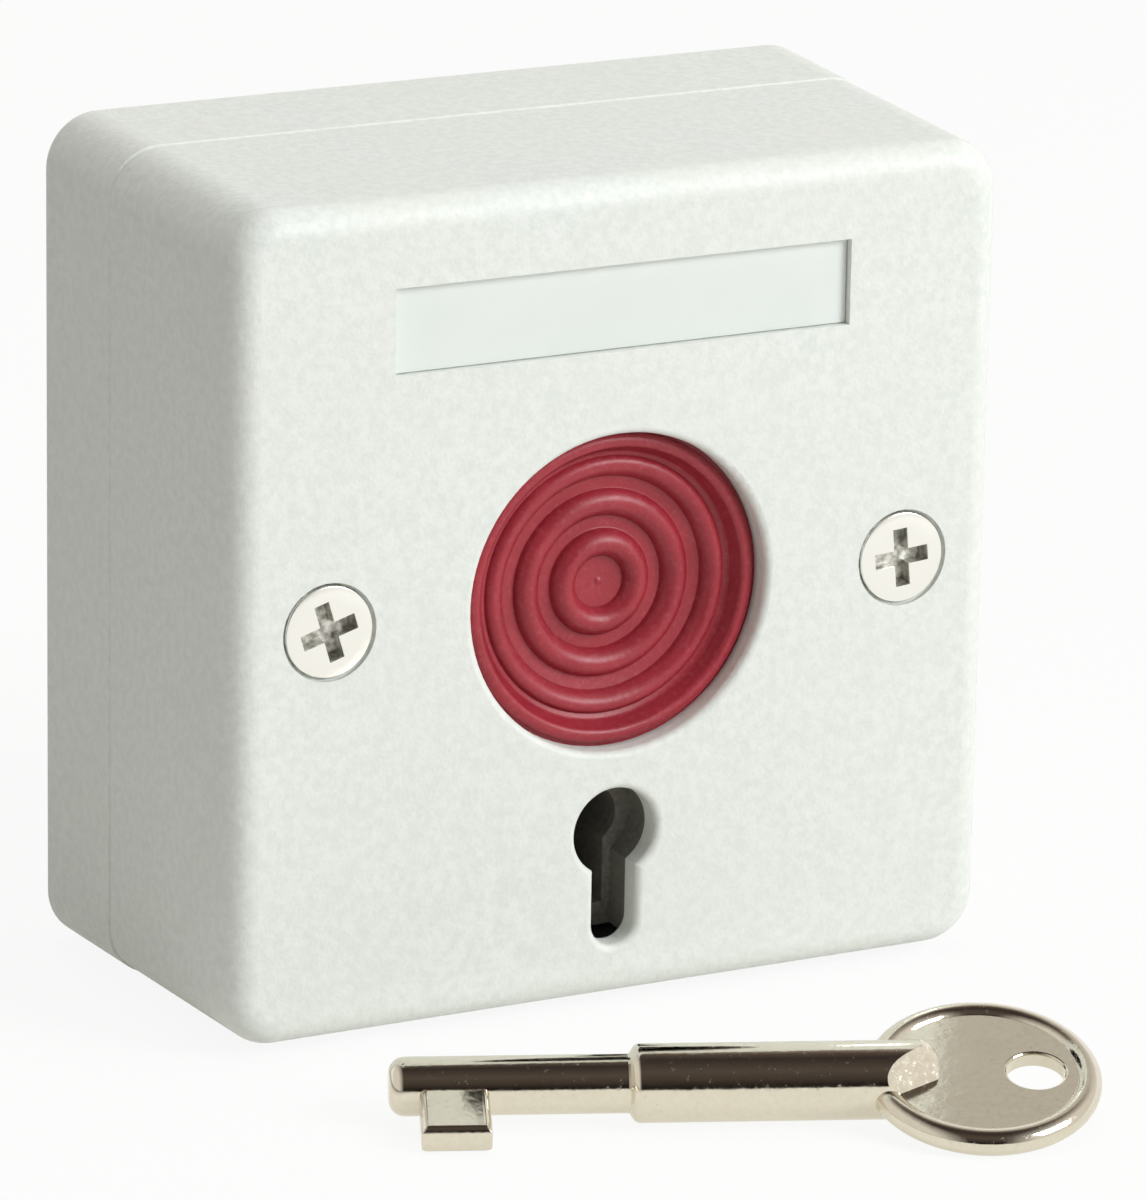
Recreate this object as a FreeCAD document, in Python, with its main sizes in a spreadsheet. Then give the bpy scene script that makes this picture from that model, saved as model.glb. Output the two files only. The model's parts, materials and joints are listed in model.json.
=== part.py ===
import FreeCAD, Part
import Sketcher
import math
import os
import re

# A wall-mounted alarm button: press the red dish to raise the alarm, turn the key to release it.
# Millimetres. X to the right seen from the front, Z up, the front face looks along -Y.
# The origin is the centre of the back face, which lies on the wall, so every Y is below zero.

SIZES = [
    # housing
    ("face_width", 80.0, "width and height of the front face, corners taken sharp"),
    ("housing_depth", 40.0, "wall to front face"),
    ("rear_depth", 14.0, "depth of the rear box, wall to parting line"),
    ("draft_angle", 1.4, "each side wall widens towards the wall by this, degrees"),
    ("corner_radius", 5.2, "vertical and horizontal corners seen from the front"),
    ("face_rounding", 2.8, "rounding round the front face"),
    ("side_wall", 2.3, "side walls of the front cover"),
    ("face_wall", 2.5, "front wall of the cover"),
    ("seam_step", 0.1, "the rear box stands proud of the cover by this"),
    ("seam_bevel", 0.35, "bevel of the rear box along the parting line"),
    ("lip_height", 1.6, "register lip of the rear box"),
    ("lip_wall", 1.1, "thickness of that lip"),
    ("lip_gap", 0.15, "clearance between lip and cover"),
    ("back_wall", 2.2, "back wall of the rear box"),
    ("opening_rounding", 0.7, "rounding of the openings in the face"),
    ("edge_ease", 0.5, "small bevels on inner pieces"),
    # label window
    ("label_width", 47.4, "recess for the label"),
    ("label_height", 8.3, "recess for the label"),
    ("label_level", 27.75, "height of its centre above the button's axis"),
    ("label_sunk", 1.1, "depth of the recess"),
    ("label_thick", 0.3, "thickness of the label strip"),
    ("label_gap", 0.1, "clearance round the label strip"),
    # button
    ("button_hole_radius", 15.5, "hole for the button in the face"),
    ("button_gap", 0.35, "clearance round the button"),
    ("button_sunk", 1.7, "rim of the button below the face"),
    ("rim_width", 1.85, "raised rim round the dish"),
    ("dish_depth", 3.25, "the middle of the dish below its rim"),
    ("dish_sag", 0.6, "the middle of the dish below the outer edge of its floor"),
    ("dish_web", 0.95, "thickness of the dish at its middle"),
    ("ring_first", 3.9, "radius of the innermost raised ring"),
    ("ring_pitch", 3.82, "spacing of the raised rings"),
    ("ring_width", 2.7, "width of a raised ring"),
    ("ring_height", 1.25, "height of a raised ring"),
    ("skirt_wall", 1.7, "wall of the button's skirt"),
    ("skirt_length", 6.8, "length of the skirt behind the rim"),
    ("flange_reach", 1.7, "the flange that holds the button in goes past the hole by this"),
    ("flange_thick", 1.4, "thickness of that flange"),
    ("flange_gap", 0.1, "gap between that flange and the front wall"),
    ("press_travel", 4.0, "travel of the button"),
    ("stem_side", 6.0, "square stem"),
    ("stem_past", 6.3, "the stem goes past the front of the frame plate by this"),
    ("socket_wall", 2.0, "boss wall round the stem's socket, at the middle of a side"),
    ("socket_depth", 3.6, "how far the stem sits in the button"),
    ("guide_gap", 0.15, "clearance round the stem in its guide"),
    # return spring
    ("spring_wire", 0.8, "wire of the return spring"),
    ("spring_turns", 6.0, "turns of the return spring"),
    ("spring_gap", 0.6, "clearance inside the return spring"),
    # mechanism frame
    ("frame_behind", 23.5, "front face to the frame plate, which hangs from the cover"),
    ("frame_thick", 2.0, "thickness of the frame plate"),
    ("frame_half", 25.0, "half width of the frame plate"),
    ("frame_top", 30.5, "top edge of the frame plate"),
    ("frame_foot", 36.5, "bottom edge of the frame plate, below the button's axis"),
    ("guide_length", 8.0, "length of the stem guide in front of the plate"),
    ("guide_radius", 5.2, "outside of the stem guide"),
    ("boss_x", 22.0, "frame bosses, sideways"),
    ("boss_high", 20.0, "upper frame bosses"),
    ("boss_low", 22.0, "lower frame bosses, below the button's axis"),
    ("boss_radius", 2.9, "frame bosses of the cover"),
    ("frame_screw_radius", 1.1, "shank of the frame screws"),
    ("frame_screw_length", 10.0, "shank of the frame screws"),
    ("frame_head_radius", 2.3, "head of the frame screws"),
    ("frame_head_height", 1.4, "head of the frame screws"),
    ("driver_span", 2.8, "cross recess of the frame screws, tip to tip"),
    ("driver_width", 0.7, "cross recess of the frame screws, width of an arm"),
    ("driver_depth", 0.8, "cross recess of the frame screws"),
    ("slot_width", 0.6, "slot of the lock screws and the switch screws"),
    ("slot_depth", 0.7, "slot of the lock screws and the switch screws"),
    ("thread_gap", 0.05, "clearance drawn round a screw in its hole"),
    # lock
    ("key_level", 23.5, "axis of the lock below the button's axis"),
    ("keyhole_radius", 4.3, "round part of the keyhole in the face"),
    ("keyhole_slot", 4.6, "width of the slot of the keyhole"),
    ("keyhole_drop", 11.3, "bottom of the slot below the axis of the lock"),
    ("key_bore_radius", 2.95, "bore for the key's thin stem"),
    ("throat_depth", 3.4, "mouth of the lock housing, shaped like the keyhole"),
    ("throat_gap", 0.2, "that mouth is wider than the keyhole by this on each side"),
    ("bit_slot", 3.3, "width of the slot for the key's bit in the lock housing"),
    ("bit_reach", 8.9, "that slot reaches this far below the axis of the lock"),
    ("lock_front_gap", 0.1, "gap between the cover and the lock housing"),
    ("lock_block_half", 6.0, "half width of the lock housing's front block"),
    ("lock_block_up", 5.7, "top of that block above the axis of the lock"),
    ("lock_block_down", 11.2, "bottom of that block below the axis of the lock"),
    ("cup_height", 10.5, "front of the cup that holds the rotor, in front of the frame plate"),
    ("cup_wall", 1.5, "wall of that cup"),
    ("rotor_radius", 9.3, "rotor, turned by the bit"),
    ("rotor_gap", 0.3, "clearance round the rotor"),
    ("rotor_bore_radius", 3.1, "bore of the rotor, a little over the key's bore"),
    ("rotor_slot", 3.3, "width of the rotor's slot, a little over the bit"),
    ("rotor_slot_reach", 8.7, "that slot reaches this far from the axis"),
    ("rotor_floor", 0.9, "the rotor behind its slot"),
    ("journal_radius", 5.0, "rear journal of the rotor"),
    ("journal_gap", 0.08, "running clearance of the journal in the frame"),
    ("journal_past", 3.5, "the journal goes past the front of the frame plate by this"),
    ("clip_neck", 4.2, "radius of the journal in the groove for its clip"),
    ("clip_radius", 7.0, "outside of the clip"),
    ("clip_thick", 0.7, "thickness of the clip"),
    ("clip_opening", 3.4, "half width of the opening of the clip"),
    ("throw_radius", 2.4, "the drive pin's distance from the axis of the lock"),
    ("throw_pin_radius", 1.2, "drive pin"),
    ("quarter_turn", 90.0, "turn of the key, degrees"),
    ("key_tip_room", 0.6, "room behind the key's tip"),
    ("lug_x", 13.6, "screw lugs of the lock housing, sideways"),
    ("lug_radius", 2.8, "screw lugs of the lock housing"),
    ("lug_thick", 3.0, "thickness of these lugs"),
    ("lug_screw_short", 0.6, "the lock screws end this far inside the lugs"),
    # latch
    ("latch_behind", 2.3, "front of the latch slider behind the frame plate"),
    ("latch_thick", 1.2, "sheet of the latch slider"),
    ("latch_half", 6.8, "half width of the latch slider"),
    ("latch_tooth_gap", 0.3, "gap between the latch's tooth and the stem"),
    ("latch_bridge", 2.2, "strip above the latch's window"),
    ("latch_foot", 28.5, "bottom of the latch slider, below the button's axis"),
    ("tongue_half", 1.0, "half width of the tongue inside the latch spring"),
    ("tongue_length", 2.7, "length of that tongue"),
    ("slot_gap", 0.3, "clearance of the drive pin in the latch, and the notch's depth more below it"),
    ("rail_gap", 0.3, "clearance of the latch in its rails"),
    ("rail_wall", 1.7, "wall of a rail"),
    ("rail_lip", 1.2, "thickness of the lip of a rail"),
    ("rail_foot", 13.0, "bottom of the rails, below the button's axis"),
    ("rail_top", 8.0, "top of the rails"),
    ("notch_depth", 1.8, "the stem's notch for the latch"),
    ("latch_seat", 35.0, "seat of the latch spring, below the button's axis"),
    ("seat_half", 3.5, "half width of that seat"),
    ("latch_wire", 0.4, "wire of the latch spring"),
    ("latch_coil", 1.9, "mean radius of the latch spring"),
    ("latch_turns", 5.0, "turns of the latch spring"),
    # switch
    ("switch_width", 6.4, "switch body, sideways"),
    ("switch_foot", 8.2, "bottom of the switch body above the button's axis"),
    ("switch_length", 19.8, "length of the switch body"),
    ("switch_height", 10.2, "height of the switch body in front of the plate"),
    ("pivot_level", 26.6, "pin of the switch lever above the button's axis"),
    ("pivot_rise", 1.3, "that pin in front of the switch body"),
    ("pivot_pin_radius", 0.5, "pin of the switch lever"),
    ("pivot_gap", 0.06, "running clearance of the lever on its pin"),
    ("lever_eye", 1.0, "outside of the lever's eye"),
    ("lever_half", 1.9, "half width of the lever"),
    ("lever_gap", 0.5, "gap beside the lever"),
    ("pivot_wall", 0.2, "the pin's lugs round the lever's eye, more than the eye"),
    ("lever_thick", 0.4, "sheet of the lever"),
    ("lever_length", 12.8, "length of the lever"),
    ("lever_lean", 14.4, "lean of the lever at rest, degrees"),
    ("plunger_level", 22.0, "plunger of the switch above the button's axis"),
    ("plunger_radius", 1.0, "plunger of the switch"),
    ("plunger_rise", 2.16, "tip of the plunger in front of the switch body at rest"),
    ("plunger_sunk", 1.5, "plunger inside the switch body at rest"),
    ("plunger_gap", 0.08, "running clearance of the plunger"),
    ("plunger_room", 1.8, "room behind the plunger"),
    ("tab_width", 3.2, "blade terminals"),
    ("tab_thick", 0.5, "blade terminals"),
    ("tab_length", 5.0, "blade terminals"),
    ("tab_first", 2.3, "lowest terminal above the foot of the switch body"),
    ("tab_pitch", 7.6, "spacing of the terminals"),
    ("tab_room", 0.6, "room round each terminal in its window"),
    ("bracket_wall", 2.0, "wall beside the switch"),
    ("bracket_foot", 9.0, "bottom of that wall above the button's axis"),
    ("switch_screw_radius", 1.0, "screws through the switch"),
    ("switch_screw_pitch", 9.5, "spacing of these screws"),
    ("switch_screw_first", 5.1, "lower of these screws above the foot of the switch body"),
    ("switch_screw_rise", 3.1, "these screws in front of the frame plate"),
    ("switch_head_radius", 1.9, "heads of these screws"),
    ("switch_head_height", 1.3, "heads of these screws"),
    # fixings
    ("fixing_half", 30.15, "half the spacing of the face screws and of the wall holes"),
    ("pillar_radius", 4.4, "screw pillars of cover and rear box"),
    ("face_head_radius", 4.4, "countersunk heads in the face"),
    ("face_head_land", 0.7, "straight edge of these heads"),
    ("face_head_gap", 0.35, "clearance round that edge"),
    ("face_head_sunk", 0.1, "these heads below the face"),
    ("face_shank_radius", 1.95, "shanks of the face screws"),
    ("face_shank_gap", 0.2, "clearance round these shanks in the cover"),
    ("face_screw_grip", 4.6, "the face screws reach this far into their inserts"),
    ("cross_span", 5.6, "cross recess, tip to tip"),
    ("cross_width", 1.1, "cross recess, width of an arm"),
    ("cross_depth", 1.5, "cross recess, depth"),
    ("cross_turn_left", 17.0, "the left screw's cross is turned by this, degrees"),
    ("cross_turn_right", 5.0, "the right screw's cross is turned by this, degrees"),
    ("insert_radius", 2.7, "threaded inserts"),
    ("insert_length", 7.0, "threaded inserts"),
    ("wall_hole_radius", 2.25, "holes for the wall screws"),
    ("wall_hole_rim", 4.6, "raised rim round these holes"),
    ("wall_hole_rise", 1.0, "height of that rim"),
    ("cable_radius", 7.0, "cable entry in the back wall"),
    ("cable_level", 13.0, "cable entry above the button's axis"),
    # key
    ("key_tip_x", -33.0, "tip of the key, sideways"),
    ("key_tip_y", -59.04, "tip of the key, from the wall"),
    ("key_yaw", -23.35, "the key lies turned by this about the vertical, degrees"),
    ("key_roll", 16.5, "it lies rolled by this, bow edge and stem on the table, degrees"),
    ("key_pitch", 0.45, "its bow end lies higher by this, degrees"),
    ("key_thin_radius", 2.72, "thin stem"),
    ("key_thin_length", 22.0, "tip to shoulder"),
    ("key_shoulder", 1.5, "slope of the shoulder"),
    ("key_thick_radius", 3.63, "thick stem"),
    ("key_bow_start", 43.6, "tip to the edge of the bow"),
    ("key_stem_in_bow", 6.6, "the thick stem ends this far inside the bow"),
    ("key_bow_radius", 10.87, "outside of the bow"),
    ("key_bead_radius", 1.25, "bead round the bow"),
    ("key_web", 1.6, "thickness of the bow inside its bead"),
    ("key_hole_radius", 2.7, "ring hole of the bow"),
    ("key_hole_shift", 4.78, "ring hole beyond the bow's centre"),
    ("key_tip_rounding", 1.5, "rounding of the tip"),
    ("key_stem_rounding", 1.8, "rounding of the stem's end inside the bow"),
    ("bit_from_tip", 2.7, "tip to bit"),
    ("bit_length", 6.4, "bit along the stem"),
    ("bit_height", 8.4, "end of the bit from the axis"),
    ("bit_thick", 2.84, "thickness of the bit"),
    ("bit_ease", 0.65, "bevel of the bit"),
]

doc = FreeCAD.newDocument("keyed_alarm_button")
sheet = doc.addObject("Spreadsheet::Sheet", "Sizes")
SIZE = {}
for row, (alias, number, note) in enumerate(SIZES, start=1):
    sheet.set(f"A{row}", note)
    sheet.set(f"B{row}", str(number))
    sheet.setAlias(f"B{row}", alias)
    SIZE[alias] = number
doc.recompute()

V = FreeCAD.Vector
STRAIGHT = FreeCAD.Rotation()
TO_Y = FreeCAD.Rotation(V(1, 0, 0), -90)
TO_X = FreeCAD.Rotation(V(0, 1, 0), 90)
WIRE_SIDES = 8
TURNS = {"x": TO_X, "y": TO_Y, "z": STRAIGHT}
PIECES = []

# Planes and places that several pieces share, as expressions of the sizes.
FACE = "(-housing_depth)"
INSIDE = "(-housing_depth + face_wall)"
SEAM = "(-rear_depth)"
COVER_DEPTH = "(housing_depth - rear_depth)"
SEAM_HALF = f"(face_width / 2 + {COVER_DEPTH} * tan(draft_angle))"
BUTTON_RADIUS = "(button_hole_radius - button_gap)"
RIM = "(-housing_depth + button_sunk)"
DISH = f"({RIM} + dish_depth)"
WEB_BACK = f"({DISH} + dish_web)"
SKIRT_END = f"({RIM} + skirt_length)"
BOSS_RADIUS = "(stem_side / 2 + socket_wall)"
PLATE_FRONT = "(-housing_depth + frame_behind)"
PLATE_BACK = f"({PLATE_FRONT} + frame_thick)"
COIL_RADIUS = f"({BOSS_RADIUS} + spring_gap + spring_wire / 2)"
LATCH_FRONT = f"({PLATE_BACK} + latch_behind)"
LATCH_BACK = f"({LATCH_FRONT} + latch_thick)"
LOCK_FRONT = f"({INSIDE} + lock_front_gap)"
CUP_FRONT = f"({PLATE_FRONT} - cup_height)"
CUP_RADIUS = "(rotor_radius + rotor_gap + cup_wall)"
ROTOR_FRONT = f"({CUP_FRONT} + cup_wall)"
ROTOR_BACK = f"({PLATE_FRONT} - rotor_gap)"
JOURNAL_END = f"({PLATE_FRONT} + journal_past)"
KEY_STOP = f"({LOCK_FRONT} + key_thin_length)"
CLIP_FRONT = f"({PLATE_BACK} + rotor_gap)"
PIN_SIDE = "(throw_radius * cos(quarter_turn / 2))"
PIN_UP = "(throw_radius * sin(quarter_turn / 2))"
SWITCH_FRONT = f"({PLATE_FRONT} - switch_height)"
SWITCH_TOP = "(switch_foot + switch_length)"
PIVOT_Y = f"({SWITCH_FRONT} - pivot_rise)"
SWITCH_SCREW_Y = f"({PLATE_FRONT} - switch_screw_rise)"
SINK_RADIUS = "(face_head_radius + face_head_gap)"
SINK_FLOOR = f"({FACE} + face_head_sunk + face_head_land - face_head_gap)"
FLOOR = "(face_width / 2 + housing_depth * tan(draft_angle) + seam_step)"
BOW_MIDDLE = "(key_bow_start + key_bow_radius)"
BEAD_CIRCLE = "(key_bow_radius - key_bead_radius)"
KEY_REST = f"({BEAD_CIRCLE} * sin(key_roll) + key_bead_radius - {BOW_MIDDLE} * sin(key_pitch))"


def tie(expression):
    """Write the sheet's name before each size in an expression."""
    def named(match):
        word = match.group(0)
        return "Sizes." + word if word in SIZE else word
    return re.sub(r"[A-Za-z_]+", named, str(expression))


def bind(feature, **sizes):
    for name, expression in sizes.items():
        feature.setExpression(name, tie(expression))
    return feature


def stand(feature, x, y, z, turn=STRAIGHT):
    """Turn a feature and tie its place to the sizes."""
    feature.Placement = FreeCAD.Placement(V(), turn)
    for axis, expression in zip("xyz", (x, y, z)):
        feature.setExpression("Placement.Base." + axis, tie(expression))
    return feature


def piece(label, x="0", z="0"):
    """Start a sub-part: a body whose own axis stands at x and z."""
    body = doc.addObject("PartDesign::Body", label)
    body.Label = label
    body.AllowCompound = True
    stand(body, x, "0", z)
    PIECES.append(body)
    return body


def block(body, name, x, y, z, cut=False):
    """A box from three pairs of expressions, low and high."""
    kind = "PartDesign::SubtractiveBox" if cut else "PartDesign::AdditiveBox"
    feature = body.newObject(kind, name)
    bind(feature, Length=f"({x[1]}) - ({x[0]})", Width=f"({y[1]}) - ({y[0]})",
         Height=f"({z[1]}) - ({z[0]})")
    return stand(feature, x[0], y[0], z[0])


def rod(body, name, radius, axis, low, high, at=("0", "0"), cut=False):
    """A cylinder along one axis; at gives the two other coordinates, in X, Y, Z order."""
    kind = "PartDesign::SubtractiveCylinder" if cut else "PartDesign::AdditiveCylinder"
    feature = body.newObject(kind, name)
    bind(feature, Radius=radius, Height=f"({high}) - ({low})")
    places = {"x": (low, *at), "y": (at[0], low, at[1]), "z": (*at, low)}
    return stand(feature, *places[axis], TURNS[axis])


def cone(body, name, first, second, low, high, at=("0", "0"), cut=False):
    """A cone along Y, first and second are its radii at low and high."""
    kind = "PartDesign::SubtractiveCone" if cut else "PartDesign::AdditiveCone"
    feature = body.newObject(kind, name)
    bind(feature, Radius1=first, Radius2=second, Height=f"({high}) - ({low})")
    return stand(feature, at[0], low, at[1], TO_Y)


def shell(body, name, front, back, front_half, back_half, cut=False):
    """A square block along Y whose half width goes from front_half to back_half."""
    kind = "PartDesign::SubtractiveWedge" if cut else "PartDesign::AdditiveWedge"
    feature = body.newObject(kind, name)
    bind(feature, Xmin=f"-({front_half})", Xmax=front_half, Zmin=f"-({front_half})", Zmax=front_half,
         X2min=f"-({back_half})", X2max=back_half, Z2min=f"-({back_half})", Z2max=back_half,
         Ymin="0", Ymax=f"({back}) - ({front})")
    return stand(feature, "0", front, "0")


def ease(body, name, radius, chosen):
    """Round the edges of the body's last feature that the test chooses."""
    doc.recompute()
    base = body.Tip
    names = [f"Edge{number}" for number, edge in enumerate(base.Shape.Edges, start=1) if chosen(edge)]
    feature = body.newObject("PartDesign::Fillet", name)
    feature.Base = (base, names)
    return bind(feature, Radius=radius)


def bevel(body, name, size, chosen):
    """Bevel the edges of the body's last feature that the test chooses."""
    doc.recompute()
    base = body.Tip
    names = [f"Edge{number}" for number, edge in enumerate(base.Shape.Edges, start=1) if chosen(edge)]
    feature = body.newObject("PartDesign::Chamfer", name)
    feature.Base = (base, names)
    return bind(feature, Size=size)


def plane(body, role):
    return next(item for item in body.Origin.OriginFeatures if item.Role == role)


def outline(body, name, points, role="XZ_Plane"):
    """A closed sketch of straight lines through points given as expressions."""
    sketch = body.newObject("Sketcher::SketchObject", name)
    sketch.AttachmentSupport = (plane(body, role), [""])
    sketch.MapMode = "FlatFace"
    count = len(points)
    rough = [V(10 * math.cos(2 * math.pi * i / count), 10 * math.sin(2 * math.pi * i / count), 0)
             for i in range(count)]
    for i in range(count):
        sketch.addGeometry(Part.LineSegment(rough[i], rough[(i + 1) % count]))
    for i in range(count):
        sketch.addConstraint(Sketcher.Constraint("Coincident", i, 2, (i + 1) % count, 1))
    for i, (across, up) in enumerate(points):
        first = sketch.addConstraint(Sketcher.Constraint("DistanceX", -1, 1, i, 1, rough[i].x + 20))
        sketch.setExpression(f"Constraints[{first}]", tie(across))
        second = sketch.addConstraint(Sketcher.Constraint("DistanceY", -1, 1, i, 1, rough[i].y + 20))
        sketch.setExpression(f"Constraints[{second}]", tie(up))
    return sketch


def pad(body, name, sketch, length, level):
    """Raise a sketch on the XZ plane: it starts at the plane Y = level and goes towards the wall."""
    bind(sketch, **{"AttachmentOffset.Base.z": f"-({level})"})
    feature = body.newObject("PartDesign::Pad", name)
    feature.Profile = sketch
    feature.Reversed = True
    return bind(feature, Length=length)


def coil(label, radius, wire, turns, length, place, turn):
    """A compression spring: a wire with eight narrow sides, which mesh well, swept along a helix."""
    path = doc.addObject("Part::Helix", label + "_path")
    bind(path, Radius=radius, Pitch=f"({length} - {wire}) / {turns}", Height=f"{length} - {wire}")
    section = doc.addObject("Part::RegularPolygon", label + "_section")
    section.Polygon = WIRE_SIDES
    section.Placement = FreeCAD.Placement(V(), FreeCAD.Rotation(V(1, 0, 0), 90))
    bind(section, Circumradius=f"{wire} / 2")
    section.setExpression("Placement.Base.x", tie(radius))
    doc.recompute()
    spring = doc.addObject("Part::Sweep", label)
    spring.Label = label
    spring.Sections = [section]
    spring.Spine = (path, [])
    spring.Solid = True
    spring.Frenet = True
    stand(spring, *place, turn)
    PIECES.append(spring)
    return spring


# Front cover: a deep square shell with pillars for the face screws and bosses for the frame.

def on_corner(edge):
    """An edge that runs from front to back at a corner of the shell."""
    ends = [vertex.Point for vertex in edge.Vertexes]
    return len(ends) == 2 and abs(ends[0].y - ends[1].y) > 5 and abs(abs(ends[0].x) - abs(ends[0].z)) < 0.1


def at_level(edge, level, slack=0.01):
    box = edge.BoundBox
    return abs(box.YMin - level) < slack and abs(box.YMax - level) < slack


def make_front_cover():
    cover = piece("front_cover")
    shell(cover, "outside", FACE, SEAM, "face_width / 2", SEAM_HALF)
    ease(cover, "corners", "corner_radius", on_corner)
    ease(cover, "face_edge", "face_rounding", lambda edge: at_level(edge, -SIZE["housing_depth"]))
    inside_half = "(face_width / 2 + face_wall * tan(draft_angle) - side_wall)"
    shell(cover, "inside", INSIDE, SEAM, inside_half, f"{SEAM_HALF} - side_wall", cut=True)
    inner_limit = SIZE["face_width"] / 2 - SIZE["side_wall"] + 1.2
    ease(cover, "inner_corners", "corner_radius - side_wall",
         lambda edge: on_corner(edge) and abs(edge.Vertexes[0].Point.x) < inner_limit)
    rod(cover, "button_hole", "button_hole_radius", "y", f"{FACE} - 1", f"{INSIDE} + 1", cut=True)
    rod(cover, "keyhole", "keyhole_radius", "y", f"{FACE} - 1", f"{INSIDE} + 1", ("0", "-key_level"), cut=True)
    block(cover, "keyhole_slot_sides", ("-keyhole_slot / 2", "keyhole_slot / 2"), (f"{FACE} - 1", f"{INSIDE} + 1"),
          ("-key_level - keyhole_drop + keyhole_slot / 2", "-key_level"), cut=True)
    rod(cover, "keyhole_slot_end", "keyhole_slot / 2", "y", f"{FACE} - 1", f"{INSIDE} + 1",
        ("0", "-key_level - keyhole_drop + keyhole_slot / 2"), cut=True)
    reach = SIZE["face_width"] / 2 - 2 * SIZE["corner_radius"]
    ease(cover, "opening_edges", "opening_rounding",
         lambda edge: at_level(edge, -SIZE["housing_depth"])
         and max(abs(edge.BoundBox.XMin), abs(edge.BoundBox.XMax)) < reach)
    block(cover, "label_recess", ("-label_width / 2", "label_width / 2"), (f"{FACE} - 1", f"{FACE} + label_sunk"),
          ("label_level - label_height / 2", "label_level + label_height / 2"), cut=True)
    for side, name in (("-", "left"), ("", "right")):
        at = (side + "fixing_half", "0")
        rod(cover, f"pillar_{name}", "pillar_radius", "y", INSIDE, SEAM, at)
        rod(cover, f"clear_{name}", "face_shank_radius + face_shank_gap", "y", f"{FACE} - 1", f"{SEAM} + 1", at,
            cut=True)
        rod(cover, f"sink_rim_{name}", SINK_RADIUS, "y", f"{FACE} - 1", SINK_FLOOR, at, cut=True)
        cone(cover, f"sink_{name}", SINK_RADIUS, "face_shank_radius + face_shank_gap", SINK_FLOOR,
             f"{SINK_FLOOR} + {SINK_RADIUS} - face_shank_radius - face_shank_gap", at, cut=True)
    for side, column in (("-", "left"), ("", "right")):
        for level, tier in (("boss_high", "high"), ("-boss_low", "low")):
            at = (side + "boss_x", level)
            rod(cover, f"boss_{tier}_{column}", "boss_radius", "y", INSIDE, PLATE_FRONT, at)
            rod(cover, f"pilot_{tier}_{column}", "frame_screw_radius + thread_gap", "y",
                f"{PLATE_FRONT} - frame_screw_length", f"{PLATE_FRONT} + 1", at, cut=True)
    return cover


def make_rear_box():
    box = piece("rear_box")
    rear_half = f"({SEAM_HALF} + seam_step)"
    wall_half = f"({rear_half} + rear_depth * tan(draft_angle))"
    lip_half = f"({SEAM_HALF} - side_wall - lip_gap)"
    shell(box, "outside", SEAM, "0", rear_half, wall_half)
    ease(box, "corners", "corner_radius", on_corner)
    bevel(box, "seam_edge", "seam_bevel", lambda edge: at_level(edge, -SIZE["rear_depth"]))
    block(box, "lip", (f"-{lip_half}", lip_half), (f"{SEAM} - lip_height", SEAM), (f"-{lip_half}", lip_half))
    ease(box, "lip_corners", "corner_radius - side_wall",
         lambda edge: abs(edge.Length - SIZE["lip_height"]) < 0.01)
    shell(box, "inside", f"{SEAM} - lip_height", "-back_wall", f"{lip_half} - lip_wall", f"{lip_half} - lip_wall",
          cut=True)
    for side, name in (("-", "left"), ("", "right")):
        at = (side + "fixing_half", "0")
        rod(box, f"pillar_{name}", "pillar_radius", "y", SEAM, "-back_wall", at)
        rod(box, f"insert_hole_{name}", "insert_radius", "y", f"{SEAM} - 1", f"{SEAM} + insert_length", at, cut=True)
        rod(box, f"relief_{name}", "face_shank_radius + face_shank_gap", "y", SEAM, "-back_wall - 1", at, cut=True)
    for side, name in (("-", "low"), ("", "high")):
        at = ("0", side + "fixing_half")
        rod(box, f"rim_{name}", "wall_hole_rim", "y", "-back_wall - wall_hole_rise", "-back_wall", at)
        rod(box, f"wall_hole_{name}", "wall_hole_radius", "y", "-back_wall - wall_hole_rise - 1", "1", at, cut=True)
    rod(box, "cable_entry", "cable_radius", "y", "-back_wall - 1", "1", ("0", "cable_level"), cut=True)
    return box


def make_label_strip():
    strip = piece("label_strip", z="label_level")
    half = "(label_width / 2 - label_gap)"
    tall = "(label_height / 2 - label_gap)"
    corners = [(f"-{half}", f"-{tall}"), (half, f"-{tall}"), (half, tall), (f"-{half}", tall)]
    sketch = outline(strip, "strip_outline", corners)
    pad(strip, "strip", sketch, "label_thick", f"{FACE} + label_sunk - label_thick")
    return strip


# Button: a dished cap with raised rings, on a square stem that the latch catches.

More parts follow.
